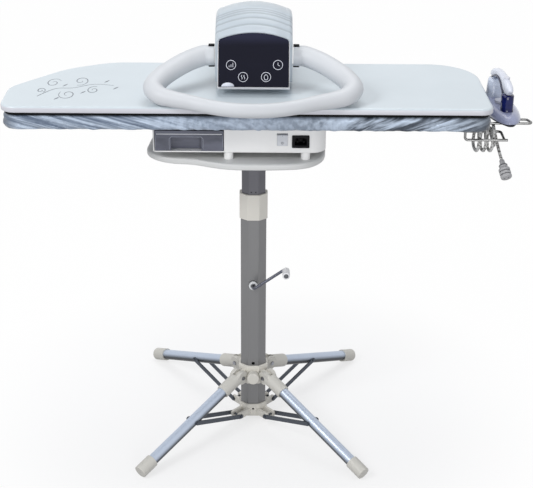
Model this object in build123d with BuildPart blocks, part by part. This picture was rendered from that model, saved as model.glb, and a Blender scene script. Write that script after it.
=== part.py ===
"""Steam ironing press on a folding crank stand, as separate pieces in millimetres.

The origin is the point on the floor under the column's axis. +X is to the
user's right, +Y is away from the user and +Z is up.
"""

import os
from math import acos, cos, degrees, hypot, pi, radians, sin, tan

from build123d import *

os.makedirs("parts", exist_ok=True)

# Clearances
fit_gap = 0.05
slide_gap = 0.5
soft_gap = 0.3
bush_gap = 0.15

# Column, from the floor up
column_width = 51.5
column_depth = 39.5
column_wall = 1.5
column_facets = 8
column_corner = 3.0
column_bottom = 13.0
column_top = 505.0
collar_bottom = column_top - 42.0
collar_top = column_top + 12.0
collar_wall = 2.2
lock_hole_height = 136.0
lock_hole_radius = 3.5

# Ring at the foot of the column, which carries the struts
ring_bottom = 10.0
ring_top = 38.0
ring_wall = 3.0
ring_hole_height = 27.0
ring_hole_radius = 2.4
strut_pivot_reach = 50.0
strut_pivot_height = 22.0
finger_thickness = 5.0
finger_radius = 7.0
strut_pin_radius = 2.0

# Hub that slides on the column and carries the legs
hub_bottom = 90.0
hub_top = 131.0
hub_wall = 4.0
leg_pivot_height = 112.0
lug_thickness = 9.0
lug_radius = 9.0
hinge_screw_radius = 2.5
hinge_head_radius = 4.2
hinge_head_height = 1.8
lock_boss_radius = 10.0
lock_boss_length = 9.0
lock_knob_radius = 12.5
lock_knob_length = 12.0
lock_travel = 8.0
lock_stem_radius = 4.0

# Legs
leg_azimuth = 47.2
leg_radius = 11.0
leg_wall = 1.5
foot_reach = 326.5
cap_radius = leg_radius + 2.5
cap_length = 36.0
cap_end = 4.0
foot_flat = 0.8
socket_radius = leg_radius + 3.0
leg_pivot_reach = socket_radius + 30.0
socket_length = 52.0
socket_seat = 22.0
strut_on_leg = 143.0
strut_width = 9.0
strut_thickness = 2.5
strut_side_gap = 0.6
rivet_radius = 3.4
rivet_height = 1.4

# Crank, pinion and rack
crank_height = 320.0
crank_rod_radius = 3.0
crank_boss_radius = 7.0
crank_boss_length = 8.0
crank_throw_x = 65.6
crank_throw_z = 47.0
crank_plane = 42.0
crank_bend = 7.0
knob_radius = 7.5
knob_length = 32.0
gear_module = 1.0
pinion_teeth = 16
pressure_angle = 20.0
gear_backlash = 0.24
pinion_face = 10.0
rack_depth = 8.0
mast_travel = 150.0

# Mast, the inner tube of the column
mast_width = 47.0
mast_depth = 35.0
mast_wall = 1.5
mast_bottom = 280.0
clamp_bottom = 345.0
clamp_length = 40.0

# Platform on the mast
platform_top = 620.0
platform_thickness = 12.0
platform_spigot = 25.0

# Base housing under the board
post_height = 14.0
post_radius = 9.0
post_left = -47.0
post_right = 99.0
post_offset = 82.0
base_left = -190.0
base_right = 138.0
base_front = -92.0
base_back = 92.0
base_height = 63.0
base_wall = 3.0
base_left_corner = 8.0
base_right_corner = 28.0
tank_bay_right = -55.0
tank_height = 40.0
tank_depth = 140.0
tank_wall = 2.0
tank_travel = 100.0
grip_left = -155.0
grip_right = -98.0
grip_height = 26.0
grip_depth = 14.0
switch_x = 55.0
switch_z = 661.0
switch_width = 20.0
switch_height = 22.0
switch_swing = 1.6
switch_seat = 8.0
switch_tilt = 6.0
inlet_x = 89.5
inlet_z = 657.5
inlet_width = 33.0
inlet_height = 25.0
inlet_depth = 22.0

# Board with its pan, pad and cover
board_front = -140.0
board_back = 137.0
board_left = -467.0
board_right = 443.0
cover_inset = 5.0
cover_wall = 2.0
cover_top_wall = 1.5
cover_height = 26.3
cover_hem = 28.0
pan_wall = 1.5
pan_height = 14.0
pad_crown = 6.0

# Upper plate
heat_inset = 6.0
heat_thickness = 5.9
shell_height = 12.5
shell_wall = 3.0
shell_edge = 5.0

# Arm, hood and head of the upper plate
hinge_back = 170.0
hinge_height = 712.0
hinge_pin_radius = 5.0
arm_half_width = 24.0
arm_wall = 4.0
flange_depth = 28.0
flange_thickness = 4.0
ear_thickness = 4.0
spring_radius = 9.5
head_half_width = 73.0
head_rim_step = 5.5
head_front = -74.0
head_seam = -24.0
head_bottom = 752.0
head_shoulder = 836.0
head_crown = 850.0
hood_wall = 2.5
flange_reach = head_half_width - hood_wall - arm_half_width - soft_gap
hood_back = 198.0
panel_thickness = 2.0
panel_half_width = 66.0
panel_shoulder = 91.0
panel_crown = 104.0
panel_corner = 8.0
panel_foot_corner = 2.0

# Handle ring
handle_pivot_height = 797.0
handle_stub_radius = 8.0
handle_stub_length = 7.0
handle_drop = 50.0 / 175.0
grip_radius = 19.5
grip_bend = 36.0
grip_corner = (184.0, -112.0)
bar_radius = 13.5

# Pump and control board in the base
pump_x = 0.0
pump_y = 10.0
pump_width = 34.0
pump_length = 60.0
pump_foot = 8.0
pump_rise = 24.0
pump_radius = 17.0
pump_can_back = 36.0
pump_can_length = 50.0
pump_port_radius = 5.0
pump_port_length = 14.0
card_x = 80.0
card_y = 32.0
card_width = 76.0
card_depth = 68.0
card_thickness = 1.6
card_post_radius = 3.0
card_post_height = 6.0
card_post_inset = 6.0
coil_width = 22.0
coil_depth = 26.0
relay_size = 16.0
relay_height = 18.0
capacitor_radius = 7.0
capacitor_height = 24.0
card_part_offset = 18.0

# Wire racks at the right end
wire_radius = 2.5
rest_height = 685.0
rest_front = -60.0
rest_return = -38.0
rest_cross = 20.0
rest_back = 58.0
rest_under = 499.0
rest_right = 530.0
rest_corner_drop = 8.0
rest_inner = 398.0
wire_bend = 6.0
weld_drop = 1.5
rack_height = 661.0
rack_front = -87.0
rack_back = -40.0
rack_right = 474.0
rack_tip = 480.0
rack_inner = 399.0

# Iron, along its own X from heel to nose
iron_x = 477.0
iron_y = -8.0
iron_yaw = 5.0
iron_half_width = 31.0
iron_nose = 82.0
iron_heel = -78.0
sole_thickness = 4.0
skirt_height = 15.0
skirt_taper = 22.0
iron_tank_height = 31.0
iron_tank_length = 30.0
iron_tank_width = 27.0
iron_tank_x = 38.0
iron_handle_width = 24.0
iron_handle_top = 78.0
button_radius = 6.0
button_travel = 2.5
button_x = 22.0
dial_radius = 12.0
dial_height = 5.0
dial_x = -8.0
relief_length = 22.0
relief_tilt = 30.0
relief_drop = 18.0
relief_wall = 3.0
relief_tip_wall = 1.0
heel_rise = 3.0
heel_sink = 3.0
heel_length = 28.0
heel_width = 34.0
heel_corner = 8.0
heel_middle = 24.0
heel_front = 38.0
handle_tail = 14.0
handle_tail_drop = 6.0
handle_grip_depth = 13.0
# Front lip of the handle, from the tank's middle and up from the tank's top
lip_points = [(13.0, 9.0), (18.0, 13.0), (12.0, 17.0)]
button_height = 8.0
button_seat = 9.0
dial_grips = 20
dial_grip_radius = 1.3

# Iron's cord, wound in two layers on the rack
cord_diameter = 6.0
cord_turns = 3
cord_pitch = 13.0
cord_corner = 9.0
cord_layer_step = 7.0
cord_bottom = 636.0
cord_start_x = 462.0
cord_front = rack_front + 16.0
plug_length = 38.0
plug_radius = 11.0
plug_sleeve_wall = 2.0
# Bands round the plug: how far along it, length and radius
plug_bands = [(10.0, 6.0, 8.0), (18.0, 6.0, plug_radius), (26.0, 12.0, plug_radius)]
contact_spread = 4.0
contact_radius = 1.6
contact_depth = 9.0


def place_on(z):
    """A level plane at one height."""
    return Plane.XY.offset(z)


def front_plane(y):
    """A plane that faces the user at one distance, with its own Y up."""
    return Plane(origin=(0, y, 0), x_dir=(1, 0, 0), z_dir=(0, -1, 0))


def side_plane(x):
    """A plane that faces +X, with its own X along +Y and its own Y up."""
    return Plane(origin=(x, 0, 0), x_dir=(0, 1, 0), z_dir=(1, 0, 0))


def oval(width, depth, corner=column_corner):
    """The faceted oval section that every piece on the column shares."""
    step = 2 * pi / column_facets
    grow = 1 / cos(step / 2)
    corners = []
    for index in range(column_facets):
        angle = (index + 0.5) * step
        corners.append((width / 2 * grow * cos(angle), depth / 2 * grow * sin(angle)))
    with BuildSketch() as section:
        Polygon(*corners)
        fillet(section.vertices(), corner)
    return section.sketch


def sleeve(outer_width, outer_depth, wall, low, high):
    """A length of faceted oval tube."""
    with BuildPart() as tube:
        with BuildSketch(place_on(low)):
            add(oval(outer_width, outer_depth))
            add(oval(outer_width - 2 * wall, outer_depth - 2 * wall), mode=Mode.SUBTRACT)
        extrude(amount=high - low)
    return tube.part


# Column
with BuildPart() as column_tube:
    add(sleeve(column_width, column_depth, column_wall, column_bottom, column_top))
    # Boss that the crank rod turns in
    with BuildSketch(front_plane(-column_depth / 2 + column_wall)):
        with Locations((0, crank_height)):
            Circle(crank_boss_radius)
    extrude(amount=crank_boss_length + column_wall)
    with BuildSketch(front_plane(0)):
        with Locations((0, crank_height)):
            Circle(crank_rod_radius + fit_gap)
    extrude(amount=column_depth, mode=Mode.SUBTRACT)
    # Hole that the lock drops into, and the hole behind the ring's screw hole
    with BuildSketch(front_plane(0)):
        with Locations((0, lock_hole_height)):
            Circle(lock_hole_radius)
        with Locations((0, ring_hole_height)):
            Circle(ring_hole_radius)
    extrude(amount=column_depth, mode=Mode.SUBTRACT)
column_tube.part.label = "column_tube"
export_step(column_tube.part, "parts/column_tube.step")

with BuildPart() as column_collar:
    with BuildSketch(place_on(collar_bottom)):
        add(oval(column_width + 2 * collar_wall, column_depth + 2 * collar_wall))
    extrude(amount=collar_top - collar_bottom)
    fillet(column_collar.faces().sort_by(Axis.Z)[-1].edges(), 1.2)
    with BuildSketch(place_on(collar_bottom)):
        add(oval(column_width + 2 * fit_gap, column_depth + 2 * fit_gap))
    extrude(amount=column_top - collar_bottom, mode=Mode.SUBTRACT)
    # Lip over the top of the column, which guides the mast
    with BuildSketch(place_on(column_top)):
        add(oval(mast_width + 2 * bush_gap, mast_depth + 2 * bush_gap))
    extrude(amount=collar_top - column_top, mode=Mode.SUBTRACT)
column_collar.part.label = "column_collar"
export_step(column_collar.part, "parts/column_collar.step")


# Four legs stand on the same azimuth, mirrored over both axes
leg_names = ["fr", "fl", "bl", "br"]
leg_angles = [-leg_azimuth, leg_azimuth - 180, 180 - leg_azimuth, leg_azimuth]
foot_height = cap_radius * (foot_reach - leg_pivot_reach) / hypot(
    foot_reach - leg_pivot_reach, leg_pivot_height - cap_radius
) - foot_flat
leg_run = foot_reach - leg_pivot_reach
leg_drop = leg_pivot_height - foot_height
leg_length = hypot(leg_run, leg_drop)


def radial_plane(angle):
    """An upright plane through the column's axis: X outward, Y up, Z sideways."""
    turn = radians(angle)
    return Plane(origin=(0, 0, 0), x_dir=(cos(turn), sin(turn), 0), z_dir=(sin(turn), -cos(turn), 0))


def leg_point(distance):
    """A point on a leg's axis, as reach and height, from the leg's pivot."""
    reach = leg_pivot_reach + distance * leg_run / leg_length
    return reach, leg_pivot_height - distance * leg_drop / leg_length


def leg_plane(angle, distance):
    """A plane across a leg's axis, at a distance from the leg's pivot."""
    turn = radians(angle)
    reach, height = leg_point(distance)
    along = Vector(leg_run * cos(turn), leg_run * sin(turn), -leg_drop)
    return Plane(
        origin=(reach * cos(turn), reach * sin(turn), height),
        x_dir=(sin(turn), -cos(turn), 0),
        z_dir=along.normalized(),
    )


strut_inner = leg_radius + strut_side_gap
strut_end = leg_point(strut_on_leg)
strut_length = hypot(strut_end[0] - strut_pivot_reach, strut_end[1] - strut_pivot_height)
strut_tilt = degrees(acos((strut_end[0] - strut_pivot_reach) / strut_length))

with BuildPart() as strut_ring:
    ring_width = column_width + 2 * ring_wall
    ring_depth = column_depth + 2 * ring_wall
    with BuildSketch(place_on(ring_bottom)):
        add(oval(ring_width, ring_depth))
    extrude(amount=ring_top - ring_bottom)
    # Two fingers for each strut
    for angle in leg_angles:
        for side in (-strut_inner + soft_gap, strut_inner - soft_gap - finger_thickness):
            with BuildSketch(radial_plane(angle).offset(side)):
                with Locations((strut_pivot_reach, strut_pivot_height)):
                    Circle(finger_radius)
                with Locations((strut_pivot_reach / 2 + 6, strut_pivot_height)):
                    Rectangle(strut_pivot_reach - 12, 2 * finger_radius)
            extrude(amount=finger_thickness)
    for angle in leg_angles:
        with BuildSketch(radial_plane(angle)):
            with Locations((strut_pivot_reach, strut_pivot_height)):
                Circle(strut_pin_radius + fit_gap)
        extrude(amount=strut_inner, both=True, mode=Mode.SUBTRACT)
    with BuildSketch(place_on(column_bottom)):
        add(oval(column_width + 2 * fit_gap, column_depth + 2 * fit_gap))
    extrude(amount=ring_top - column_bottom, mode=Mode.SUBTRACT)
    with BuildSketch(front_plane(0)):
        with Locations((0, ring_hole_height)):
            Circle(ring_hole_radius)
    extrude(amount=column_depth, mode=Mode.SUBTRACT)
strut_ring.part.label = "strut_ring"
export_step(strut_ring.part, "parts/strut_ring.step")

hub_bore_width = column_width + 2 * slide_gap
hub_bore_depth = column_depth + 2 * slide_gap
hub_width = hub_bore_width + 2 * hub_wall
hub_depth = hub_bore_depth + 2 * hub_wall
boss_front = -hub_depth / 2 - lock_boss_length

with BuildPart() as leg_hub:
    with BuildSketch(place_on(hub_bottom)):
        add(oval(hub_width, hub_depth))
    extrude(amount=hub_top - hub_bottom)
    fillet(leg_hub.faces().sort_by(Axis.Z)[-1].edges(), 1.5)
    for angle in leg_angles:
        with BuildSketch(radial_plane(angle)):
            with Locations((leg_pivot_reach, leg_pivot_height)):
                Circle(lug_radius)
            with Locations((leg_pivot_reach / 2 + 6, leg_pivot_height)):
                Rectangle(leg_pivot_reach - 12, 2 * lug_radius)
        extrude(amount=lug_thickness / 2, both=True)
    with BuildSketch(front_plane(0)):
        with Locations((0, leg_pivot_height)):
            Circle(lock_boss_radius)
    extrude(amount=-boss_front)
    for angle in leg_angles:
        with BuildSketch(radial_plane(angle)):
            with Locations((leg_pivot_reach, leg_pivot_height)):
                Circle(hinge_screw_radius + fit_gap)
        extrude(amount=lug_thickness, both=True, mode=Mode.SUBTRACT)
    with BuildSketch(place_on(hub_bottom)):
        add(oval(hub_bore_width, hub_bore_depth))
    extrude(amount=hub_top - hub_bottom, mode=Mode.SUBTRACT)
    with BuildSketch(front_plane(0)):
        with Locations((0, leg_pivot_height)):
            Circle(lock_stem_radius + fit_gap)
    extrude(amount=-boss_front, mode=Mode.SUBTRACT)
leg_hub.part.label = "leg_hub"
export_step(leg_hub.part, "parts/leg_hub.step")

with BuildPart() as lock_knob:
    with BuildSketch(front_plane(boss_front - slide_gap)):
        with Locations((0, leg_pivot_height)):
            Circle(lock_knob_radius)
    extrude(amount=lock_knob_length)
    fillet(lock_knob.edges().filter_by(GeomType.CIRCLE), 2.0)
    with BuildSketch(front_plane(-column_depth / 2 - soft_gap)):
        with Locations((0, leg_pivot_height)):
            Circle(lock_stem_radius)
    extrude(amount=-boss_front - column_depth / 2 + 1)
lock_knob.part.label = "lock_knob"
export_step(lock_knob.part, "parts/lock_knob.step")

cheek_reach = socket_radius - 1.0
with BuildPart() as hinge_screws:
    for angle in leg_angles:
        with BuildSketch(radial_plane(angle)):
            with Locations((leg_pivot_reach, leg_pivot_height)):
                Circle(hinge_screw_radius)
        extrude(amount=cheek_reach + soft_gap, both=True)
        for side in (-cheek_reach - soft_gap - hinge_head_height, cheek_reach + soft_gap):
            with BuildSketch(radial_plane(angle).offset(side)):
                with Locations((leg_pivot_reach, leg_pivot_height)):
                    Circle(hinge_head_radius)
            extrude(amount=hinge_head_height)
hinge_screws.part.label = "hinge_screws"
export_step(hinge_screws.part, "parts/hinge_screws.step")

tube_end = leg_length - cap_end
for name, angle in zip(leg_names, leg_angles):
    with BuildPart() as leg_socket:
        with BuildSketch(leg_plane(angle, 0)):
            Circle(socket_radius)
        extrude(amount=socket_length)
        fillet(leg_socket.edges().filter_by(GeomType.CIRCLE), 1.5)
        with BuildSketch(radial_plane(angle)):
            with Locations((leg_pivot_reach, leg_pivot_height)):
                Circle(socket_radius)
        extrude(amount=cheek_reach, both=True)
        # Seat of the leg tube
        with BuildSketch(leg_plane(angle, socket_seat)):
            Circle(leg_radius + fit_gap)
        extrude(amount=socket_length, mode=Mode.SUBTRACT)
        # Slot over the hub's lug
        with BuildSketch(leg_plane(angle, lug_radius + 1)):
            Rectangle(lug_thickness + 2 * soft_gap, 4 * socket_radius)
        extrude(amount=-2 * socket_radius - lug_radius, mode=Mode.SUBTRACT)
        # The cheeks stand clear of the screw heads
        for side in (-cheek_reach - socket_radius, cheek_reach):
            with BuildSketch(radial_plane(angle).offset(side)):
                with Locations((leg_pivot_reach, leg_pivot_height)):
                    Circle(hinge_head_radius + 1.5)
            extrude(amount=socket_radius, mode=Mode.SUBTRACT)
        with BuildSketch(radial_plane(angle)):
            with Locations((leg_pivot_reach, leg_pivot_height)):
                Circle(hinge_screw_radius + fit_gap)
        extrude(amount=socket_radius, both=True, mode=Mode.SUBTRACT)
    leg_socket.part.label = f"leg_socket_{name}"
    export_step(leg_socket.part, f"parts/leg_socket_{name}.step")

    with BuildPart() as leg_tube:
        with BuildSketch(leg_plane(angle, socket_seat)):
            Circle(leg_radius)
            Circle(leg_radius - leg_wall, mode=Mode.SUBTRACT)
        extrude(amount=tube_end - socket_seat)
    leg_tube.part.label = f"leg_tube_{name}"
    export_step(leg_tube.part, f"parts/leg_tube_{name}.step")

    with BuildPart() as foot_cap:
        with BuildSketch(leg_plane(angle, leg_length - cap_length)):
            Circle(cap_radius)
        extrude(amount=cap_length)
        fillet(foot_cap.edges().filter_by(GeomType.CIRCLE).sort_by(Axis.Z)[0:1], 1.5)
        with BuildSketch(leg_plane(angle, leg_length - cap_length)):
            Circle(leg_radius + fit_gap)
        extrude(amount=cap_length - cap_end, mode=Mode.SUBTRACT)
        # Flat that rests on the floor
        with BuildSketch(place_on(0)):
            Rectangle(3 * foot_reach, 3 * foot_reach)
        extrude(amount=-cap_radius, mode=Mode.SUBTRACT)
    foot_cap.part.label = f"foot_cap_{name}"
    export_step(foot_cap.part, f"parts/foot_cap_{name}.step")

    with BuildPart() as strut:
        middle = ((strut_pivot_reach + strut_end[0]) / 2, (strut_pivot_height + strut_end[1]) / 2)
        for side in (-strut_inner - strut_thickness, strut_inner):
            with BuildSketch(radial_plane(angle).offset(side)):
                with Locations(Location(middle, strut_tilt)):
                    SlotCenterToCenter(strut_length, strut_width)
            extrude(amount=strut_thickness)
        # Pin in the ring's fingers, and the rivet heads at both ends
        with BuildSketch(radial_plane(angle)):
            with Locations((strut_pivot_reach, strut_pivot_height)):
                Circle(strut_pin_radius)
        extrude(amount=strut_inner + strut_thickness, both=True)
        for side in (-strut_inner - strut_thickness - rivet_height, strut_inner + strut_thickness):
            with BuildSketch(radial_plane(angle).offset(side)):
                with Locations((strut_pivot_reach, strut_pivot_height), strut_end):
                    Circle(rivet_radius)
            extrude(amount=rivet_height)
    strut.part.label = f"strut_{name}"
    export_step(strut.part, f"parts/strut_{name}.step")


# Crank, pinion and rack
pitch_radius = gear_module * pinion_teeth / 2
knob_front = -crank_plane - 2 - knob_length
with BuildPart() as crank_arm:
    with BuildLine() as rod_path:
        FilletPolyline(
            (0, pinion_face / 2, crank_height),
            (0, -crank_plane, crank_height),
            (crank_throw_x, -crank_plane, crank_height + crank_throw_z),
            (crank_throw_x, knob_front + 4, crank_height + crank_throw_z),
            radius=crank_bend,
        )
    with BuildSketch(Plane(origin=(0, pinion_face / 2, crank_height), z_dir=(0, -1, 0))):
        Circle(crank_rod_radius)
    sweep(path=rod_path.wires()[0])
crank_arm.part.label = "crank_arm"
export_step(crank_arm.part, "parts/crank_arm.step")

with BuildPart() as crank_knob:
    with BuildSketch(front_plane(-crank_plane - crank_rod_radius - crank_bend)):
        with Locations((crank_throw_x, crank_height + crank_throw_z)):
            Circle(knob_radius)
            Circle(crank_rod_radius + fit_gap, mode=Mode.SUBTRACT)
    extrude(amount=knob_length - crank_bend)
    fillet(crank_knob.edges().filter_by(GeomType.CIRCLE).group_by(Axis.Y)[0].sort_by(SortBy.LENGTH)[-1], 2)
crank_knob.part.label = "crank_knob"
export_step(crank_knob.part, "parts/crank_knob.step")


def involute(angle):
    """The involute function of a pressure angle in radians."""
    return tan(angle) - angle


def pinion_outline():
    """The corners of the pinion's outline, with one tooth centred on -X."""
    base_radius = pitch_radius * cos(radians(pressure_angle))
    tip_radius = pitch_radius + gear_module
    root_radius = pitch_radius - 1.25 * gear_module
    half_tooth = (pi * gear_module / 2 - gear_backlash / 2) / (2 * pitch_radius)
    flank = []
    for share in (0.0, 0.35, 0.7, 1.0):
        radius = base_radius + share * (tip_radius - base_radius)
        slope = acos(base_radius / radius)
        flank.append((radius, half_tooth + involute(radians(pressure_angle)) - involute(slope)))
    flank.insert(0, (root_radius, flank[0][1]))
    corners = []
    for tooth in range(pinion_teeth):
        centre = pi + tooth * 2 * pi / pinion_teeth
        for radius, half in flank:
            corners.append((radius * cos(centre - half), radius * sin(centre - half)))
        for radius, half in reversed(flank):
            corners.append((radius * cos(centre + half), radius * sin(centre + half)))
    return corners


with BuildPart() as pinion:
    with BuildSketch(front_plane(pinion_face / 2)):
        with Locations((0, crank_height)):
            Polygon(*pinion_outline(), align=None)
            Circle(crank_rod_radius + fit_gap / 2, mode=Mode.SUBTRACT)
    extrude(amount=pinion_face)
pinion.part.label = "pinion"
export_step(pinion.part, "parts/pinion.step")

tooth_pitch = pi * gear_module
rack_low_teeth = int((mast_travel + 4 * gear_module) / tooth_pitch) + 3
rack_high_teeth = 4
rack_bottom = crank_height - (rack_low_teeth + 0.5) * tooth_pitch
rack_top = clamp_bottom + clamp_length
with BuildPart() as mast_rack:
    tip = -pitch_radius + gear_module
    root = -pitch_radius - 1.25 * gear_module
    half_pitch_line = (tooth_pitch / 2 - gear_backlash / 2) / 2
    half_tip = half_pitch_line - gear_module * tan(radians(pressure_angle))
    half_root = half_pitch_line + 1.25 * gear_module * tan(radians(pressure_angle))
    corners = [(root - rack_depth, rack_bottom - 4), (root, rack_bottom - 4)]
    for tooth in range(-rack_low_teeth, rack_high_teeth):
        centre = crank_height + (tooth + 0.5) * tooth_pitch
        corners.append((root, centre - half_root))
        corners.append((tip, centre - half_tip))
        corners.append((tip, centre + half_tip))
        corners.append((root, centre + half_root))
    corners.append((root, rack_top))
    corners.append((root - rack_depth, rack_top))
    with BuildSketch(front_plane(pinion_face / 2)):
        Polygon(*corners, align=None)
    extrude(amount=pinion_face)
mast_rack.part.label = "mast_rack"
export_step(mast_rack.part, "parts/mast_rack.step")

mast_inner_width = mast_width - 2 * mast_wall
mast_inner_depth = mast_depth - 2 * mast_wall
mast_top = platform_top - platform_thickness
with BuildPart() as mast_tube:
    add(sleeve(mast_width, mast_depth, mast_wall, mast_bottom, mast_top))
    # Slot that lets the mast pass the crank rod
    with BuildSketch(front_plane(0)):
        with Locations((0, (mast_bottom + crank_height) / 2)):
            Rectangle(3 * crank_rod_radius, crank_height - mast_bottom + 3 * crank_rod_radius)
    extrude(amount=mast_depth, mode=Mode.SUBTRACT)
mast_tube.part.label = "mast_tube"
export_step(mast_tube.part, "parts/mast_tube.step")

with BuildPart() as rack_clamp:
    with BuildSketch(place_on(clamp_bottom)):
        add(oval(mast_inner_width - 2 * fit_gap, mast_inner_depth - 2 * fit_gap))
        with Locations((root - rack_depth / 2, 0)):
            Rectangle(rack_depth + 2 * fit_gap, pinion_face + 2 * fit_gap, mode=Mode.SUBTRACT)
    extrude(amount=clamp_length)
rack_clamp.part.label = "rack_clamp"
export_step(rack_clamp.part, "parts/rack_clamp.step")


# Platform, posts and base housing
with BuildPart() as platform:
    with BuildSketch(place_on(platform_top - platform_thickness)):
        with BuildLine():
            Spline(
                (-206, -18),
                (-193, -62),
                (-160, -84),
                (-115, -92),
                (-82, -105),
                (-46, -116),
                (10, -119),
                (64, -116),
                (106, -104),
                (131, -74),
                (139, -20),
                (131, 50),
                (105, 88),
                (40, 104),
                (-60, 104),
                (-150, 90),
                (-196, 45),
                periodic=True,
            )
        make_face()
    extrude(amount=platform_thickness)
    fillet(platform.edges().group_by(Axis.Z)[0], 3.0)
    fillet(platform.edges().group_by(Axis.Z)[-1], 4.5)
    # Spigot inside the mast
    with BuildSketch(place_on(mast_top - platform_spigot)):
        add(oval(mast_inner_width - 2 * fit_gap, mast_inner_depth - 2 * fit_gap))
    extrude(amount=platform_spigot)
platform.part.label = "platform"
export_step(platform.part, "parts/platform.step")

base_bottom = platform_top + post_height
base_top = base_bottom + base_height
with BuildPart() as base_posts:
    with BuildSketch(place_on(platform_top)):
        with Locations(
            (post_left, -post_offset),
            (post_right, -post_offset),
            (post_left, post_offset),
            (post_right, post_offset),
        ):
            Circle(post_radius)
    extrude(amount=post_height)
base_posts.part.label = "base_posts"
export_step(base_posts.part, "parts/base_posts.step")


def base_outline(inset):
    """The plan of the base housing, drawn in by one amount."""
    with BuildSketch() as plan:
        with Locations(((base_left + base_right) / 2, (base_front + base_back) / 2)):
            Rectangle(base_right - base_left - 2 * inset, base_back - base_front - 2 * inset)
        fillet(plan.vertices().group_by(Axis.X)[0], base_left_corner - inset)
        fillet(plan.vertices().group_by(Axis.X)[-1], base_right_corner - inset)
    return plan.sketch


bay_floor = base_bottom + base_wall
bay_left = base_left + base_wall
with BuildPart() as base_shell:
    with BuildSketch(place_on(base_bottom)):
        add(base_outline(0))
    extrude(amount=base_height)
    fillet(base_shell.edges().group_by(Axis.Z)[0], 2.0)
    with BuildSketch(place_on(bay_floor)):
        add(base_outline(base_wall))
    extrude(amount=base_height, mode=Mode.SUBTRACT)
    # Wall beside the tank bay
    with BuildSketch(place_on(bay_floor)):
        with Locations((tank_bay_right + base_wall / 2, 0)):
            Rectangle(base_wall, base_back - base_front - 2 * base_wall)
    extrude(amount=base_height - base_wall)
    # Mouths of the tank bay, the switch and the inlet
    with BuildSketch(front_plane(base_front + base_left_corner)):
        with Locations(((bay_left + tank_bay_right) / 2, bay_floor + (base_height - base_wall) / 2)):
            Rectangle(tank_bay_right - bay_left, base_height - base_wall)
        with Locations((switch_x, switch_z)):
            Rectangle(switch_width + 2 * soft_gap, switch_height + 2 * switch_swing)
        with Locations((inlet_x, inlet_z)):
            Rectangle(inlet_width - 6, inlet_height - 6)
    extrude(amount=base_left_corner + 1, mode=Mode.SUBTRACT)
base_shell.part.label = "base_shell"
export_step(base_shell.part, "parts/base_shell.step")

tank_low = bay_floor + soft_gap
tank_left = bay_left + slide_gap
tank_right = tank_bay_right - slide_gap
tank_middle = (tank_left + tank_right) / 2
tank_back = base_front + tank_depth
with BuildPart() as water_tank:
    with BuildSketch(place_on(tank_low)):
        with Locations((tank_middle, base_front + tank_depth / 2)):
            Rectangle(tank_right - tank_left, tank_depth)
    extrude(amount=tank_height)
    fillet(water_tank.edges().filter_by(Axis.Z), 3.0)
    with BuildSketch(place_on(tank_low + tank_wall)):
        with Locations((tank_middle, base_front + tank_depth / 2)):
            Rectangle(tank_right - tank_left - 2 * tank_wall, tank_depth - 2 * tank_wall)
    extrude(amount=tank_height, mode=Mode.SUBTRACT)
    # Finger grip that stands in from the front wall
    with BuildSketch(place_on(tank_low)):
        with Locations(((grip_left + grip_right) / 2, base_front + grip_depth / 2 + tank_wall / 2)):
            Rectangle(grip_right - grip_left + 2 * tank_wall, grip_depth + tank_wall)
    extrude(amount=grip_height + tank_wall)
    with BuildSketch(place_on(tank_low)):
        with Locations(((grip_left + grip_right) / 2, base_front + grip_depth / 2)):
            Rectangle(grip_right - grip_left, grip_depth)
    extrude(amount=grip_height, mode=Mode.SUBTRACT)
water_tank.part.label = "water_tank"
export_step(water_tank.part, "parts/water_tank.step")

# Rocker, tilted to its off end
switch_plane = Plane(
    origin=(switch_x - switch_width / 2, base_front + switch_seat, switch_z),
    x_dir=(0, cos(radians(switch_tilt)), sin(radians(switch_tilt))),
    z_dir=(1, 0, 0),
)
with BuildPart() as power_switch:
    with BuildSketch(switch_plane):
        with BuildLine():
            Polyline(
                (0, -switch_height / 2),
                (-switch_seat - 2.6, -switch_height / 2),
                (-switch_seat - 1.2, 0),
                (-switch_seat - 2.6, switch_height / 2),
                (0, switch_height / 2),
                close=True,
            )
        make_face()
    extrude(amount=switch_width)
power_switch.part.label = "power_switch"
export_step(power_switch.part, "parts/power_switch.step")

with BuildPart() as inlet_socket:
    with BuildSketch(front_plane(base_front)):
        with Locations((inlet_x, inlet_z)):
            RectangleRounded(inlet_width, inlet_height, 2)
    extrude(amount=2)
    with BuildSketch(front_plane(base_front)):
        with Locations((inlet_x, inlet_z)):
            Rectangle(inlet_width - 6 - 2 * soft_gap, inlet_height - 6 - 2 * soft_gap)
    extrude(amount=-inlet_depth)
    with BuildSketch(front_plane(base_front - 2)) as mouth:
        with Locations((inlet_x, inlet_z)):
            Rectangle(inlet_width - 10, inlet_height - 10)
        chamfer(mouth.vertices().group_by(Axis.Y)[-1], 3)
    extrude(amount=-inlet_depth + 2, mode=Mode.SUBTRACT)
    with BuildSketch(front_plane(base_front + inlet_depth - 3)):
        with Locations((inlet_x - 6, inlet_z - 2), (inlet_x + 6, inlet_z - 2), (inlet_x, inlet_z + 2)):
            Rectangle(2, 4)
    extrude(amount=inlet_depth - 6)
inlet_socket.part.label = "inlet_socket"
export_step(inlet_socket.part, "parts/inlet_socket.step")

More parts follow.
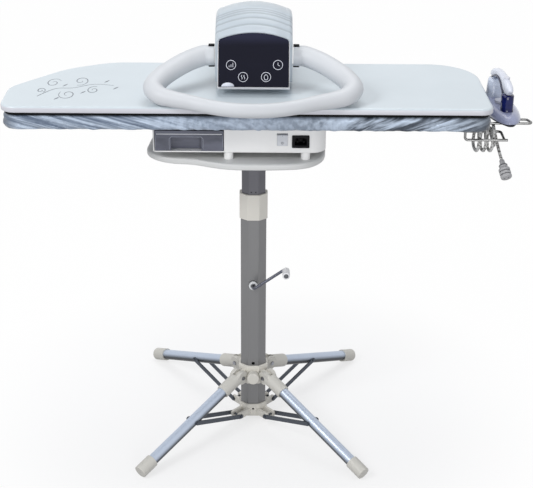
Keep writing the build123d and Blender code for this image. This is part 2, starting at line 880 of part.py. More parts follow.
pump_axis = bay_floor + pump_rise
pump_can_front = pump_can_back - pump_can_length
with BuildPart() as pump:
    with BuildSketch(place_on(bay_floor)):
        with Locations((pump_x, pump_y)):
            Rectangle(pump_width, pump_length)
    extrude(amount=pump_foot)
    with BuildSketch(front_plane(pump_can_back)):
        with Locations((pump_x, pump_axis)):
            Circle(pump_radius)
    extrude(amount=pump_can_length)
    # Water ports at both ends
    with BuildSketch(front_plane(pump_can_front)):
        with Locations((pump_x, pump_axis)):
            Circle(pump_port_radius)
    extrude(amount=pump_port_length)
    with BuildSketch(front_plane(pump_can_back + pump_port_length)):
        with Locations((pump_x, pump_axis)):
            Circle(pump_port_radius)
    extrude(amount=pump_port_length)
pump.part.label = "pump"
export_step(pump.part, "parts/pump.step")

card_low = bay_floor + card_post_height
card_high = card_low + card_thickness
with BuildPart() as control_board:
    with BuildSketch(place_on(bay_floor)):
        with Locations((card_x, card_y)):
            with GridLocations(card_width - 2 * card_post_inset, card_depth - 2 * card_post_inset, 2, 2):
                Circle(card_post_radius)
    extrude(amount=card_post_height)
    with BuildSketch(place_on(card_low)):
        with Locations((card_x, card_y)):
            Rectangle(card_width, card_depth)
    extrude(amount=card_thickness)
    # Coil and relay
    with BuildSketch(place_on(card_high)):
        with Locations((card_x - card_part_offset, card_y - card_part_offset + 4)):
            Rectangle(coil_width, coil_depth)
        with Locations((card_x + card_part_offset, card_y + card_part_offset - 4)):
            Rectangle(relay_size, relay_size)
    extrude(amount=relay_height)
    with BuildSketch(place_on(card_high)):
        with Locations(
            (card_x + card_part_offset - 2, card_y - card_part_offset + 2),
            (card_x - card_part_offset + 8, card_y + card_part_offset),
        ):
            Circle(capacitor_radius)
    extrude(amount=capacitor_height)
control_board.part.label = "control_board"
export_step(control_board.part, "parts/control_board.step")


# Board, upper plate and what they share
def board_outline(inset):
    """The plan of the board and plate: square right end, nose drawn in at the back left."""
    with BuildSketch() as plan:
        with BuildLine():
            FilletPolyline(
                (board_right, board_front),
                (board_right - 5, board_back),
                (board_left + 182, board_back),
                (board_left + 95, board_back - 45),
                (board_left, board_back - 162),
                (board_left, board_front),
                radius=[22.0, 95.0, 120.0, 160.0, 60.0, 30.0],
                close=True,
            )
        make_face()
        if inset:
            offset(amount=-inset, mode=Mode.REPLACE)
    return plan.sketch


cover_low = base_top - 2.0
cover_top = cover_low + cover_height
pan_inset = cover_inset + cover_wall + soft_gap
pad_inset = pan_inset + pan_wall + soft_gap
with BuildPart() as board_cover:
    with BuildSketch(place_on(cover_low)):
        add(board_outline(cover_inset))
    extrude(amount=cover_height)
    fillet(board_cover.edges().group_by(Axis.Z)[-1], 3.0)
    with BuildSketch(place_on(base_top - soft_gap)):
        add(board_outline(cover_inset + cover_wall))
    extrude(amount=cover_top - cover_top_wall - base_top + soft_gap, mode=Mode.SUBTRACT)
    with BuildSketch(place_on(cover_low)):
        add(board_outline(cover_inset + cover_hem))
    extrude(amount=cover_height / 2, mode=Mode.SUBTRACT)
board_cover.part.label = "board_cover"
export_step(board_cover.part, "parts/board_cover.step")

with BuildPart() as board_pan:
    with BuildSketch(place_on(base_top)):
        add(board_outline(pan_inset))
    extrude(amount=pan_height)
    with BuildSketch(place_on(base_top + pan_wall)):
        add(board_outline(pan_inset + pan_wall))
    extrude(amount=pan_height, mode=Mode.SUBTRACT)
board_pan.part.label = "board_pan"
export_step(board_pan.part, "parts/board_pan.step")

pad_low = base_top + pan_wall + soft_gap
with BuildPart() as board_pad:
    with BuildSketch(place_on(pad_low)):
        add(board_outline(pad_inset))
    extrude(amount=cover_top - cover_top_wall - soft_gap - pad_low)
    fillet(board_pad.edges().group_by(Axis.Z)[-1], pad_crown)
board_pad.part.label = "board_pad"
export_step(board_pad.part, "parts/board_pad.step")

heat_low = cover_top + soft_gap
shell_low = heat_low + heat_thickness
plate_top = shell_low + shell_height
with BuildPart() as heating_plate:
    with BuildSketch(place_on(heat_low)):
        add(board_outline(heat_inset))
    extrude(amount=heat_thickness)
    fillet(heating_plate.edges().group_by(Axis.Z)[0], 1.5)
heating_plate.part.label = "heating_plate"
export_step(heating_plate.part, "parts/heating_plate.step")

with BuildPart() as press_shell:
    with BuildSketch(place_on(shell_low)):
        add(board_outline(0))
    extrude(amount=shell_height)
    fillet(press_shell.edges().group_by(Axis.Z)[-1], shell_edge)
    fillet(press_shell.edges().group_by(Axis.Z)[0], 2.0)
    with BuildSketch(place_on(shell_low)):
        add(board_outline(heat_inset + shell_wall))
    extrude(amount=shell_height - shell_wall, mode=Mode.SUBTRACT)
press_shell.part.label = "press_shell"
export_step(press_shell.part, "parts/press_shell.step")


# Hinge, arm, hood and head
arm_low = hinge_height - 14
ear_inner = arm_half_width + slide_gap
with BuildPart() as hinge_bracket:
    for side in (-ear_inner - ear_thickness, ear_inner):
        with BuildSketch(side_plane(side)):
            with BuildLine():
                Polyline(
                    (base_back, base_bottom + 6),
                    (hinge_back + 8, hinge_height - 44),
                    (hinge_back + 14, hinge_height),
                    (hinge_back, hinge_height + 13),
                    (hinge_back - 14, hinge_height - 8),
                    (base_back + 30, base_top - 10),
                    (base_back, base_top - 4),
                    close=True,
                )
            make_face()
        extrude(amount=ear_thickness)
    # Plate on the back of the base housing
    with BuildSketch(front_plane(base_back)):
        with Locations((0, (base_bottom + base_top) / 2 + 1)):
            Rectangle(2 * (ear_inner + ear_thickness), base_height - 10)
    extrude(amount=-ear_thickness)
    with BuildSketch(side_plane(0)):
        with Locations((hinge_back, hinge_height)):
            Circle(hinge_pin_radius + fit_gap)
    extrude(amount=2 * arm_half_width, both=True, mode=Mode.SUBTRACT)
hinge_bracket.part.label = "hinge_bracket"
export_step(hinge_bracket.part, "parts/hinge_bracket.step")

with BuildPart() as hinge_pin:
    pin_half = ear_inner + ear_thickness + soft_gap
    with BuildSketch(side_plane(0)):
        with Locations((hinge_back, hinge_height)):
            Circle(hinge_pin_radius)
    extrude(amount=pin_half, both=True)
    for side in (-pin_half - 3, pin_half):
        with BuildSketch(side_plane(side)):
            with Locations((hinge_back, hinge_height)):
                Circle(hinge_pin_radius + 3)
        extrude(amount=3)
hinge_pin.part.label = "hinge_pin"
export_step(hinge_pin.part, "parts/hinge_pin.step")

arm_top = head_crown - 4
arm_under = head_crown - 22


def arm_outline(inset):
    """The side view of the arm, from the rear hinge over to the plate."""
    with BuildSketch() as view:
        with BuildLine():
            Polyline(
                (hinge_back - 18 + inset, arm_low + inset),
                (hinge_back + 18 - inset, arm_low + inset),
                (hinge_back + 18 - inset, arm_top - 60 - inset / 2),
                (hinge_back - 30 - inset / 2, arm_top - inset),
                (10, arm_top - inset),
                (-20 + inset, arm_top - 16 - inset),
                (-20 + inset, plate_top + inset),
                (22 - inset, plate_top + inset),
                (22 - inset, arm_under + inset),
                (hinge_back - 35 + inset / 2, arm_under + inset),
                (hinge_back - 18 + inset, arm_under - 20 + inset / 2),
                close=True,
            )
        make_face()
    return view.sketch


with BuildPart() as press_arm:
    with BuildSketch(side_plane(0)):
        add(arm_outline(0))
    extrude(amount=arm_half_width, both=True)
    with BuildSketch(side_plane(0)):
        add(arm_outline(arm_wall))
    extrude(amount=arm_half_width - arm_wall, both=True, mode=Mode.SUBTRACT)
    with BuildSketch(side_plane(0)):
        with Locations((hinge_back, hinge_height)):
            Circle(hinge_pin_radius + fit_gap)
    extrude(amount=2 * arm_half_width, both=True, mode=Mode.SUBTRACT)
    # Flanges that the hood's side walls are screwed to
    for side in (-1, 1):
        with BuildSketch(place_on(head_bottom + 8)):
            with Locations((side * (arm_half_width + flange_reach / 2), 0)):
                Rectangle(flange_reach, flange_depth)
        extrude(amount=flange_thickness)
press_arm.part.label = "press_arm"
export_step(press_arm.part, "parts/press_arm.step")

with BuildPart() as lift_spring:
    with BuildSketch(side_plane(0)):
        with Locations((hinge_back, hinge_height)):
            Circle(spring_radius)
            Circle(hinge_pin_radius + slide_gap, mode=Mode.SUBTRACT)
    extrude(amount=arm_half_width - arm_wall - slide_gap, both=True)
lift_spring.part.label = "lift_spring"
export_step(lift_spring.part, "parts/lift_spring.step")

# Stations of the hood along Y: distance back, shoulder height and crown height
hood_stations = [
    (head_seam, head_shoulder, head_crown),
    (30.0, head_shoulder + 32, head_crown + 33),
    (95.0, head_shoulder + 27, head_crown + 27),
    (150.0, head_shoulder + 6, head_crown + 7),
    (185.0, head_shoulder - 34, head_crown - 34),
    (hood_back, head_shoulder - 68, head_crown - 70),
]


def hood_section(station, inset, end_shift=0.0):
    """One arched section of the hood, drawn in by a wall."""
    back, shoulder, crown = station
    half = head_half_width - inset
    low = head_bottom
    with BuildSketch(front_plane(back + end_shift)) as section:
        with BuildLine():
            Line((-half, low), (half, low))
            Line((half, low), (half, shoulder - inset))
            ThreePointArc((half, shoulder - inset), (0, crown - inset), (-half, shoulder - inset))
            Line((-half, shoulder - inset), (-half, low))
        make_face()
    return section.sketch


with BuildPart() as arm_hood:
    loft(sections=[hood_section(station, 0) for station in hood_stations], ruled=True)
    inner_sections = []
    for number, station in enumerate(hood_stations):
        shift = 0.0
        if number == 0:
            shift = hood_wall
        if number == len(hood_stations) - 1:
            shift = -hood_wall
        inner_sections.append(hood_section(station, hood_wall, shift))
    loft(sections=inner_sections, ruled=True, mode=Mode.SUBTRACT)
    # Opening to the head, with a lip round it that the head is fixed to
    add(hood_section(hood_stations[0], head_rim_step + base_wall / 2))
    extrude(amount=hood_wall + 1, dir=(0, 1, 0), mode=Mode.SUBTRACT)
    with BuildSketch(side_plane(0)):
        with Locations((0, handle_pivot_height)):
            Circle(handle_stub_radius + fit_gap)
    extrude(amount=head_half_width + 1, both=True, mode=Mode.SUBTRACT)
arm_hood.part.label = "arm_hood"
export_step(arm_hood.part, "parts/arm_hood.step")

slope_rise = head_crown - head_bottom - 4
slope_run = head_seam - head_front
slope_length = hypot(slope_rise, slope_run)
slope_plane = Plane(
    origin=(0, head_front, head_bottom + 4),
    x_dir=(1, 0, 0),
    z_dir=(0, -slope_rise / slope_length, slope_run / slope_length),
)


def head_outline(inset):
    """The side view of the head's front, under the sloping panel."""
    with BuildSketch() as view:
        with BuildLine():
            Polyline(
                (head_seam, head_bottom + inset),
                (head_front + 5 + inset, head_bottom + inset),
                (head_front + inset * 1.2, head_bottom + 4 + inset / 2),
                (head_seam, head_crown - inset * 1.2),
                close=True,
            )
        make_face()
    return view.sketch


with BuildPart() as head_housing:
    with BuildSketch(side_plane(0)):
        add(head_outline(0))
    extrude(amount=head_half_width, both=True)
    add(hood_section((head_seam, head_shoulder, head_crown), head_rim_step))
    extrude(amount=head_seam - head_front, dir=(0, -1, 0), mode=Mode.INTERSECT)
    with BuildSketch(side_plane(0)):
        add(head_outline(base_wall))
    extrude(amount=head_half_width - head_rim_step - base_wall, both=True, mode=Mode.SUBTRACT)
head_housing.part.label = "head_housing"
export_step(head_housing.part, "parts/head_housing.step")

with BuildPart() as control_panel:
    with BuildSketch(slope_plane) as face:
        with BuildLine():
            Line((-panel_half_width, 2), (panel_half_width, 2))
            Line((panel_half_width, 2), (panel_half_width, panel_shoulder))
            ThreePointArc(
                (panel_half_width, panel_shoulder), (0, panel_crown), (-panel_half_width, panel_shoulder)
            )
            Line((-panel_half_width, panel_shoulder), (-panel_half_width, 2))
        make_face()
        fillet(face.vertices().group_by(Axis.Y)[-1], panel_corner)
        fillet(face.vertices().group_by(Axis.Y)[0], panel_foot_corner)
    extrude(amount=panel_thickness)
control_panel.part.label = "control_panel"
export_step(control_panel.part, "parts/control_panel.step")


# Handle ring, laid out in its own tilted plane
handle_plane = Plane(
    origin=(0, 0, handle_pivot_height), x_dir=(1, 0, 0), z_dir=(0, -handle_drop, 1)
)
grip_start = head_half_width + 2
grip_route = [(grip_start, 0), (99, -2), (126, -23), (153, -52), (174, -82), grip_corner]
# Front bar from the corner to the middle: place and radius
bar_stations = [
    (grip_corner, grip_radius - 0.7),
    ((169, -136), 16.6),
    ((147, -146.5), 15.2),
    ((115, -157), 14.2),
    ((78, -170.5), 13.6),
    ((40, -179.5), bar_radius),
    ((0, -182.5), bar_radius),
]


def on_handle(place):
    """A point of the handle's plane, in the part's frame."""
    return handle_plane.from_local_coords((place[0], place[1], 0))


with BuildPart() as front_bar:
    sections = []
    for number, (place, size) in enumerate(bar_stations):
        before = bar_stations[max(number - 1, 0)][0]
        after = bar_stations[min(number + 1, len(bar_stations) - 1)][0]
        heading = on_handle(after) - on_handle(before)
        if number == len(bar_stations) - 1:
            heading = Vector(-1, 0, 0)
        with BuildSketch(
            Plane(origin=on_handle(place), x_dir=handle_plane.z_dir, z_dir=heading)
        ) as station:
            Circle(size)
        sections.append(station.sketch)
    loft(sections=sections)

with BuildPart() as handle_ring:
    with BuildSketch(side_plane(grip_start)):
        with Locations((0, handle_pivot_height)):
            Circle(grip_radius)
    with BuildLine(handle_plane) as grip_line:
        FilletPolyline(*grip_route, radius=grip_bend)
    sweep(path=grip_line.wires()[0])
    with Locations(on_handle(grip_corner)):
        Sphere(grip_radius + 0.6)
    add(front_bar.part)
    # Stubs that turn in the hood's walls
    with BuildSketch(side_plane(grip_start + 4)):
        with Locations((0, handle_pivot_height)):
            Circle(handle_stub_radius)
    extrude(amount=-handle_stub_length - 6)
    mirror(about=Plane.YZ)
handle_ring.part.label = "handle_ring"
export_step(handle_ring.part, "parts/handle_ring.step")


# Wire racks under the right end of the board
def wire(points, bend):
    """A bent round wire through a list of corners."""
    with BuildPart() as rod:
        with BuildLine() as route:
            FilletPolyline(*points, radius=bend)
        heading = Vector(*points[1]) - Vector(*points[0])
        with BuildSketch(Plane(origin=points[0], z_dir=heading)):
            Circle(wire_radius)
        sweep(path=route.wires()[0])
    return rod.part


with BuildPart() as iron_rest:
    add(
        wire(
            [
                (rest_inner, rest_front, base_top),
                (rest_inner, rest_front, rest_height),
                (rest_right, rest_front, rest_height),
                (rest_right - rest_corner_drop, rest_return, rest_height),
                (rest_under, rest_return, rest_height),
                (rest_under, rest_back, rest_height),
                (rest_inner, rest_back, rest_height),
                (rest_inner, rest_back, base_top),
            ],
            wire_bend,
        )
    )
    add(
        wire(
            [
                (rest_inner, rest_cross, base_top),
                (rest_inner, rest_cross, rest_height - weld_drop),
                (rest_under, rest_cross, rest_height - weld_drop),
            ],
            wire_bend,
        )
    )
iron_rest.part.label = "iron_rest"
export_step(iron_rest.part, "parts/iron_rest.step")

with BuildPart() as cord_rack:
    add(
        wire(
            [
                (rack_inner, rack_front, base_top),
                (rack_inner, rack_front, rack_height),
                (rack_tip, rack_front, rack_height),
            ],
            wire_bend,
        )
    )
    add(
        wire(
            [
                (rack_inner, rack_back, base_top),
                (rack_inner, rack_back, rack_height),
                (rack_right, rack_back, rack_height),
                (rack_right, rack_front, rack_height),
            ],
            wire_bend,
        )
    )
cord_rack.part.label = "cord_rack"
export_step(cord_rack.part, "parts/cord_rack.step")


# Iron, standing on the rest
iron_nose_way = Vector(sin(radians(iron_yaw)), -cos(radians(iron_yaw)), 0)
sole_low = rest_height + wire_radius + soft_gap
skirt_low = sole_low + sole_thickness
skirt_top = skirt_low + skirt_height


def iron_level(z):
    """A level plane in the iron's own frame: X to the nose, Y to its right."""
    return Plane(origin=(iron_x, iron_y, z), x_dir=iron_nose_way, z_dir=(0, 0, 1))


def iron_side(y):
    """An upright plane along the iron: X to the nose, Y up."""
    return Plane(
        origin=(iron_x, iron_y, 0),
        x_dir=iron_nose_way,
        z_dir=iron_nose_way.cross(Vector(0, 0, 1)),
    ).offset(y)


def sole_outline():
    """The iron's pointed plan, with a rounded heel."""
    half = iron_half_width
    with BuildSketch() as plan:
        with BuildLine():
            Line((iron_heel + 12, -half), (0, -half))
            ThreePointArc((0, -half), (0.58 * iron_nose, -0.74 * half), (iron_nose - 2, -6))
            ThreePointArc((iron_nose - 2, -6), (iron_nose, 0), (iron_nose - 2, 6))
            ThreePointArc((iron_nose - 2, 6), (0.58 * iron_nose, 0.74 * half), (0, half))
            Line((0, half), (iron_heel + 12, half))
            ThreePointArc((iron_heel + 12, half), (iron_heel, 0), (iron_heel + 12, -half))
        make_face()
    return plan.sketch


with BuildPart() as iron_sole:
    with BuildSketch(iron_level(sole_low)):
        add(sole_outline())
    extrude(amount=sole_thickness)
    fillet(iron_sole.faces().sort_by(Axis.Z)[0].edges(), 1.0)
iron_sole.part.label = "iron_sole"
export_step(iron_sole.part, "parts/iron_sole.step")

handle_low = skirt_top + iron_tank_height
handle_high = sole_low + iron_handle_top
heel_top = handle_low + heel_rise
with BuildPart() as iron_body:
    with BuildSketch(iron_level(skirt_low)):
        add(sole_outline())
    extrude(amount=skirt_height, taper=skirt_taper)
    # Heel that carries the back of the handle
    with BuildSketch(iron_level(skirt_top - heel_sink)):
        with Locations((iron_heel + heel_middle, 0)):
            RectangleRounded(heel_length, heel_width, heel_corner)
    extrude(amount=heel_top - skirt_top + heel_sink)
    # Cord relief out of the heel
    relief_plane = Plane(
        origin=iron_level(handle_low - relief_drop).from_local_coords((iron_heel + handle_tail, 0, 0)),
        z_dir=-iron_nose_way * cos(radians(relief_tilt)) + Vector(0, 0, -sin(radians(relief_tilt))),
    )
    with BuildSketch(relief_plane):
        Circle(cord_diameter / 2 + relief_wall)
    with BuildSketch(relief_plane.offset(relief_length)):
        Circle(cord_diameter / 2 + relief_tip_wall)
    loft()
iron_body.part.label = "iron_body"
export_step(iron_body.part, "parts/iron_body.step")

with BuildPart() as iron_tank:
    with BuildSketch(iron_level(skirt_top + fit_gap)):
        with Locations((iron_tank_x, 0)):
            RectangleRounded(iron_tank_length, iron_tank_width, 10)
    extrude(amount=iron_tank_height - 2 * fit_gap)
iron_tank.part.label = "iron_tank"
export_step(iron_tank.part, "parts/iron_tank.step")

tank_front = iron_tank_x + iron_tank_length / 2
tank_back = iron_tank_x - iron_tank_length / 2
lip_route = [(iron_tank_x + reach, handle_low + rise) for reach, rise in lip_points]
tail_x = iron_heel + handle_tail
with BuildPart() as iron_handle:
    with BuildSketch(iron_side(0)):
        with BuildLine():
            Polyline((tank_front, handle_low), *lip_route)
            ThreePointArc(lip_route[-1], (-8, handle_high), (tail_x, handle_high - handle_tail_drop))
            Polyline(
                (tail_x, handle_high - handle_tail_drop),
                (tail_x - 4, heel_top),
                (iron_heel + heel_front, heel_top),
            )
            ThreePointArc(
                (iron_heel + heel_front, heel_top),
                (-6, handle_high - handle_grip_depth),
                (tank_back, handle_low),
            )
            Line((tank_back, handle_low), (tank_front, handle_low))
        make_face()
    extrude(amount=iron_handle_width / 2, both=True)
    # Seat of the steam button
    with BuildSketch(iron_level(handle_high - button_seat)):
        with Locations((button_x, 0)):
            Circle(button_radius + soft_gap)
    extrude(amount=2 * button_seat, mode=Mode.SUBTRACT)
iron_handle.part.label = "iron_handle"
export_step(iron_handle.part, "parts/iron_handle.step")

with BuildPart() as steam_button:
    with BuildSketch(iron_level(handle_high - button_seat + button_travel + soft_gap)):
        with Locations((button_x, 0)):
            Circle(button_radius)
    extrude(amount=button_height)
    fillet(steam_button.faces().sort_by(Axis.Z)[-1].edges(), 1.5)
steam_button.part.label = "steam_button"
export_step(steam_button.part, "parts/steam_button.step")

with BuildPart() as iron_dial:
    with BuildSketch(iron_level(skirt_top + soft_gap)):
        with Locations((dial_x, 0)):
            Circle(dial_radius)
        with Locations((dial_x, 0)):
            with PolarLocations(dial_radius + dial_grip_radius / 2, dial_grips):
                Circle(dial_grip_radius, mode=Mode.SUBTRACT)
    extrude(amount=dial_height)
iron_dial.part.label = "iron_dial"
export_step(iron_dial.part, "parts/iron_dial.step")


# Iron's cord: the free stretch, the winding on the rack and the plug
def tube_length(points, radii):
    """The length of straight runs joined by tangent arcs."""
    total = 0.0
    for start, end in zip(points, points[1:]):
        total += (Vector(*end) - Vector(*start)).length
    for before, corner, after, radius in zip(points, points[1:], points[2:], radii):
        turn = radians((Vector(*corner) - Vector(*before)).get_angle(Vector(*after) - Vector(*corner)))
        total += radius * turn - 2 * radius * tan(turn / 2)
    return total


def free_radii(points):
    """The largest arcs that the runs of a cord allow."""
    radii = []
    for before, corner, after in zip(points, points[1:], points[2:]):
        first = Vector(*corner) - Vector(*before)
        second = Vector(*after) - Vector(*corner)
        half_turn = radians(first.get_angle(second)) / 2
        radii.append(0.45 * min(first.length, second.length) / tan(half_turn))
    return radii


def cord(name, points):
    """One stretch of the round cord, with its radii and length printed."""
    radii = free_radii(points)
    with BuildPart() as stretch:
        with BuildLine() as route:
            FilletPolyline(*points, radius=radii)
        with BuildSketch(Plane(origin=points[0], z_dir=Vector(*points[1]) - Vector(*points[0]))):
            Circle(cord_diameter / 2)
        sweep(path=route.wires()[0])
    length = tube_length(points, radii)
    section = pi * cord_diameter**2 / 4
    print(name, "length", round(length), "volume share", round(stretch.part.volume / (length * section), 4))
    print(name, "radii", [round(radius) for radius in radii])
    return stretch.part


relief_end = relief_plane.offset(relief_length).origin
first_corner = relief_end + relief_plane.z_dir * 22
cord_route = [
    (relief_end.X, relief_end.Y, relief_end.Z),
    (first_corner.X, first_corner.Y, first_corner.Z),
    (467, 119, 682),
    (467, 110, 656),
    (467, 85, 641),
    (cord_start_x + 3.5, 40, cord_bottom),
    (cord_start_x, rack_back + cord_corner + 1, cord_bottom),
]


def winding():
    """The corners of the cord's turns round the rack's two rods, in two layers."""
    corners = []
    across = cord_start_x
    for layer, step in ((0, -cord_pitch / 4), (1, cord_pitch / 4)):
        grow = layer * cord_layer_step
        back = rack_back + cord_corner + grow
        front = cord_front - grow
        high = rack_height + cord_corner + grow
        low = cord_bottom - grow
        for turn in range(cord_turns):
            for y, z in ((back, low), (front, low), (front, high), (back, high)):
                corners.append((across, y, z))
                across += step
    return corners


hank_route = winding()
hank_route += [(470, -34, 634), (470, -58, 629), (474, -74, 615)]
hank_route[0] = (cord_start_x, cord_route[-1][1] - soft_gap, cord_bottom)
with BuildPart() as iron_cord:
    add(cord("iron_cord", cord_route))
iron_cord.part.label = "iron_cord"
export_step(iron_cord.part, "parts/iron_cord.step")

with BuildPart() as cord_hank:
    add(cord("cord_hank", hank_route))
cord_hank.part.label = "cord_hank"
export_step(cord_hank.part, "parts/cord_hank.step")

plug_way = Vector(*hank_route[-1]) - Vector(*hank_route[-2])
plug_plane = Plane(origin=hank_route[-1], x_dir=Vector(0, 1, 0).cross(plug_way), z_dir=plug_way)
with BuildPart() as iron_plug:
    with BuildSketch(plug_plane):
        Circle(cord_diameter / 2 + plug_sleeve_wall)
    extrude(amount=plug_length)
    for start, height, size in plug_bands:
        with BuildSketch(plug_plane.offset(start)):
            Circle(size)
        extrude(amount=height)
    with BuildSketch(plug_plane.offset(plug_length)):
        with Locations((-contact_spread, 0), (contact_spread, 0)):
            Circle(contact_radius)
    extrude(amount=-contact_depth, mode=Mode.SUBTRACT)
iron_plug.part.label = "iron_plug"
export_step(iron_plug.part, "parts/iron_plug.step")
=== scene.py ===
"""Looks of the steam ironing press on its folding crank stand.

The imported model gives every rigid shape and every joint. This script dresses those shapes, puts
detailed pieces in place of the plain ones, lays the cloth and the cord, and sets up the studio.
Lengths are in metres, +Z is up and the front of the press faces -Y.
"""

from __future__ import annotations

import logging
import math
from dataclasses import dataclass, field
from enum import Enum
from typing import Any, Mapping, Sequence, Union

import bmesh
import bpy
from mathutils import Matrix, Vector, noise


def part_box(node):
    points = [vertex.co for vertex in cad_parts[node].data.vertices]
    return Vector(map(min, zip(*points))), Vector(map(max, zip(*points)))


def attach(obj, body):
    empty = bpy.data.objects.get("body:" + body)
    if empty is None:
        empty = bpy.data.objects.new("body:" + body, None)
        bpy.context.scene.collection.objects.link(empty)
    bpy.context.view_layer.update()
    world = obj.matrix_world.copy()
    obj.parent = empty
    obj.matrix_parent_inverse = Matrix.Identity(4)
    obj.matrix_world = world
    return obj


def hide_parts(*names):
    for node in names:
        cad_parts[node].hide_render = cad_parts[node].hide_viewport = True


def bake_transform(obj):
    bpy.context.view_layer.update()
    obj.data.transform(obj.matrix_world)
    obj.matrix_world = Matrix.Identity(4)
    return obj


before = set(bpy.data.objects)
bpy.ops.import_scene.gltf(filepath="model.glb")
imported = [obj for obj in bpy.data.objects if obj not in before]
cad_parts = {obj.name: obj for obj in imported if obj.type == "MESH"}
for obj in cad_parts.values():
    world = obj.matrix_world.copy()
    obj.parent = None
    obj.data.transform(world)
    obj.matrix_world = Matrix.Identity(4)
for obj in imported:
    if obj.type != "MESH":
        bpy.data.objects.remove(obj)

log = logging.getLogger("ironing_press")

Colour = tuple[float, float, float, float]
Place = Sequence[float]
Setting = Union["Wire", float, Colour, Vector, tuple]


class Body(str, Enum):
    """The moving bodies that the pieces of this script ride on."""

    COLUMN = "column"
    MAST = "mast"
    TANK = "tank"
    PRESS = "press"
    HANDLE = "handle"
    IRON = "iron"
    CRANK_GRIP = "crank_grip"
    SWITCH = "switch"


class Wrap(Enum):
    """How a row of rings is joined into a skin."""

    CAPPED = "capped"
    OPEN = "open"
    LOOPED = "looped"


def paint(red: float, green: float, blue: float) -> Colour:
    """Turns screen values from 0 to 255 into the linear colour that shaders take.

    Args:
        red: Red as a screen shows it.
        green: Green as a screen shows it.
        blue: Blue as a screen shows it.

    Returns:
        The linear colour with full alpha.
    """
    linear = []
    for value in (red / 255, green / 255, blue / 255):
        linear.append(value / 12.92 if value <= 0.04045 else ((value + 0.055) / 1.055) ** 2.4)
    return (linear[0], linear[1], linear[2], 1.0)


def shaded(colour: Colour, amount: float) -> Colour:
    """Returns the colour made darker or lighter by a factor."""
    return (colour[0] * amount, colour[1] * amount, colour[2] * amount, 1.0)


class Wire:
    """An output of a material's node tree that takes part in Python arithmetic."""

    def __init__(self, recipe: "Recipe", socket: bpy.types.NodeSocket) -> None:
        """Keeps the output and the recipe that it belongs to."""
        self.recipe = recipe
        self.socket = socket

    def __add__(self, other: Setting) -> "Wire":
        """Adds a value or another output."""
        return self.recipe.maths("ADD", self, other)

    __radd__ = __add__

    def __sub__(self, other: Setting) -> "Wire":
        """Takes away a value or another output."""
        return self.recipe.maths("SUBTRACT", self, other)

    def __rsub__(self, other: Setting) -> "Wire":
        """Takes this output away from a value."""
        return self.recipe.maths("SUBTRACT", other, self)

    def __mul__(self, other: Setting) -> "Wire":
        """Multiplies by a value or another output."""
        return self.recipe.maths("MULTIPLY", self, other)

    __rmul__ = __mul__

    def __gt__(self, other: Setting) -> "Wire":
        """Is 1 where this output is larger and 0 elsewhere."""
        return self.recipe.maths("GREATER_THAN", self, other)


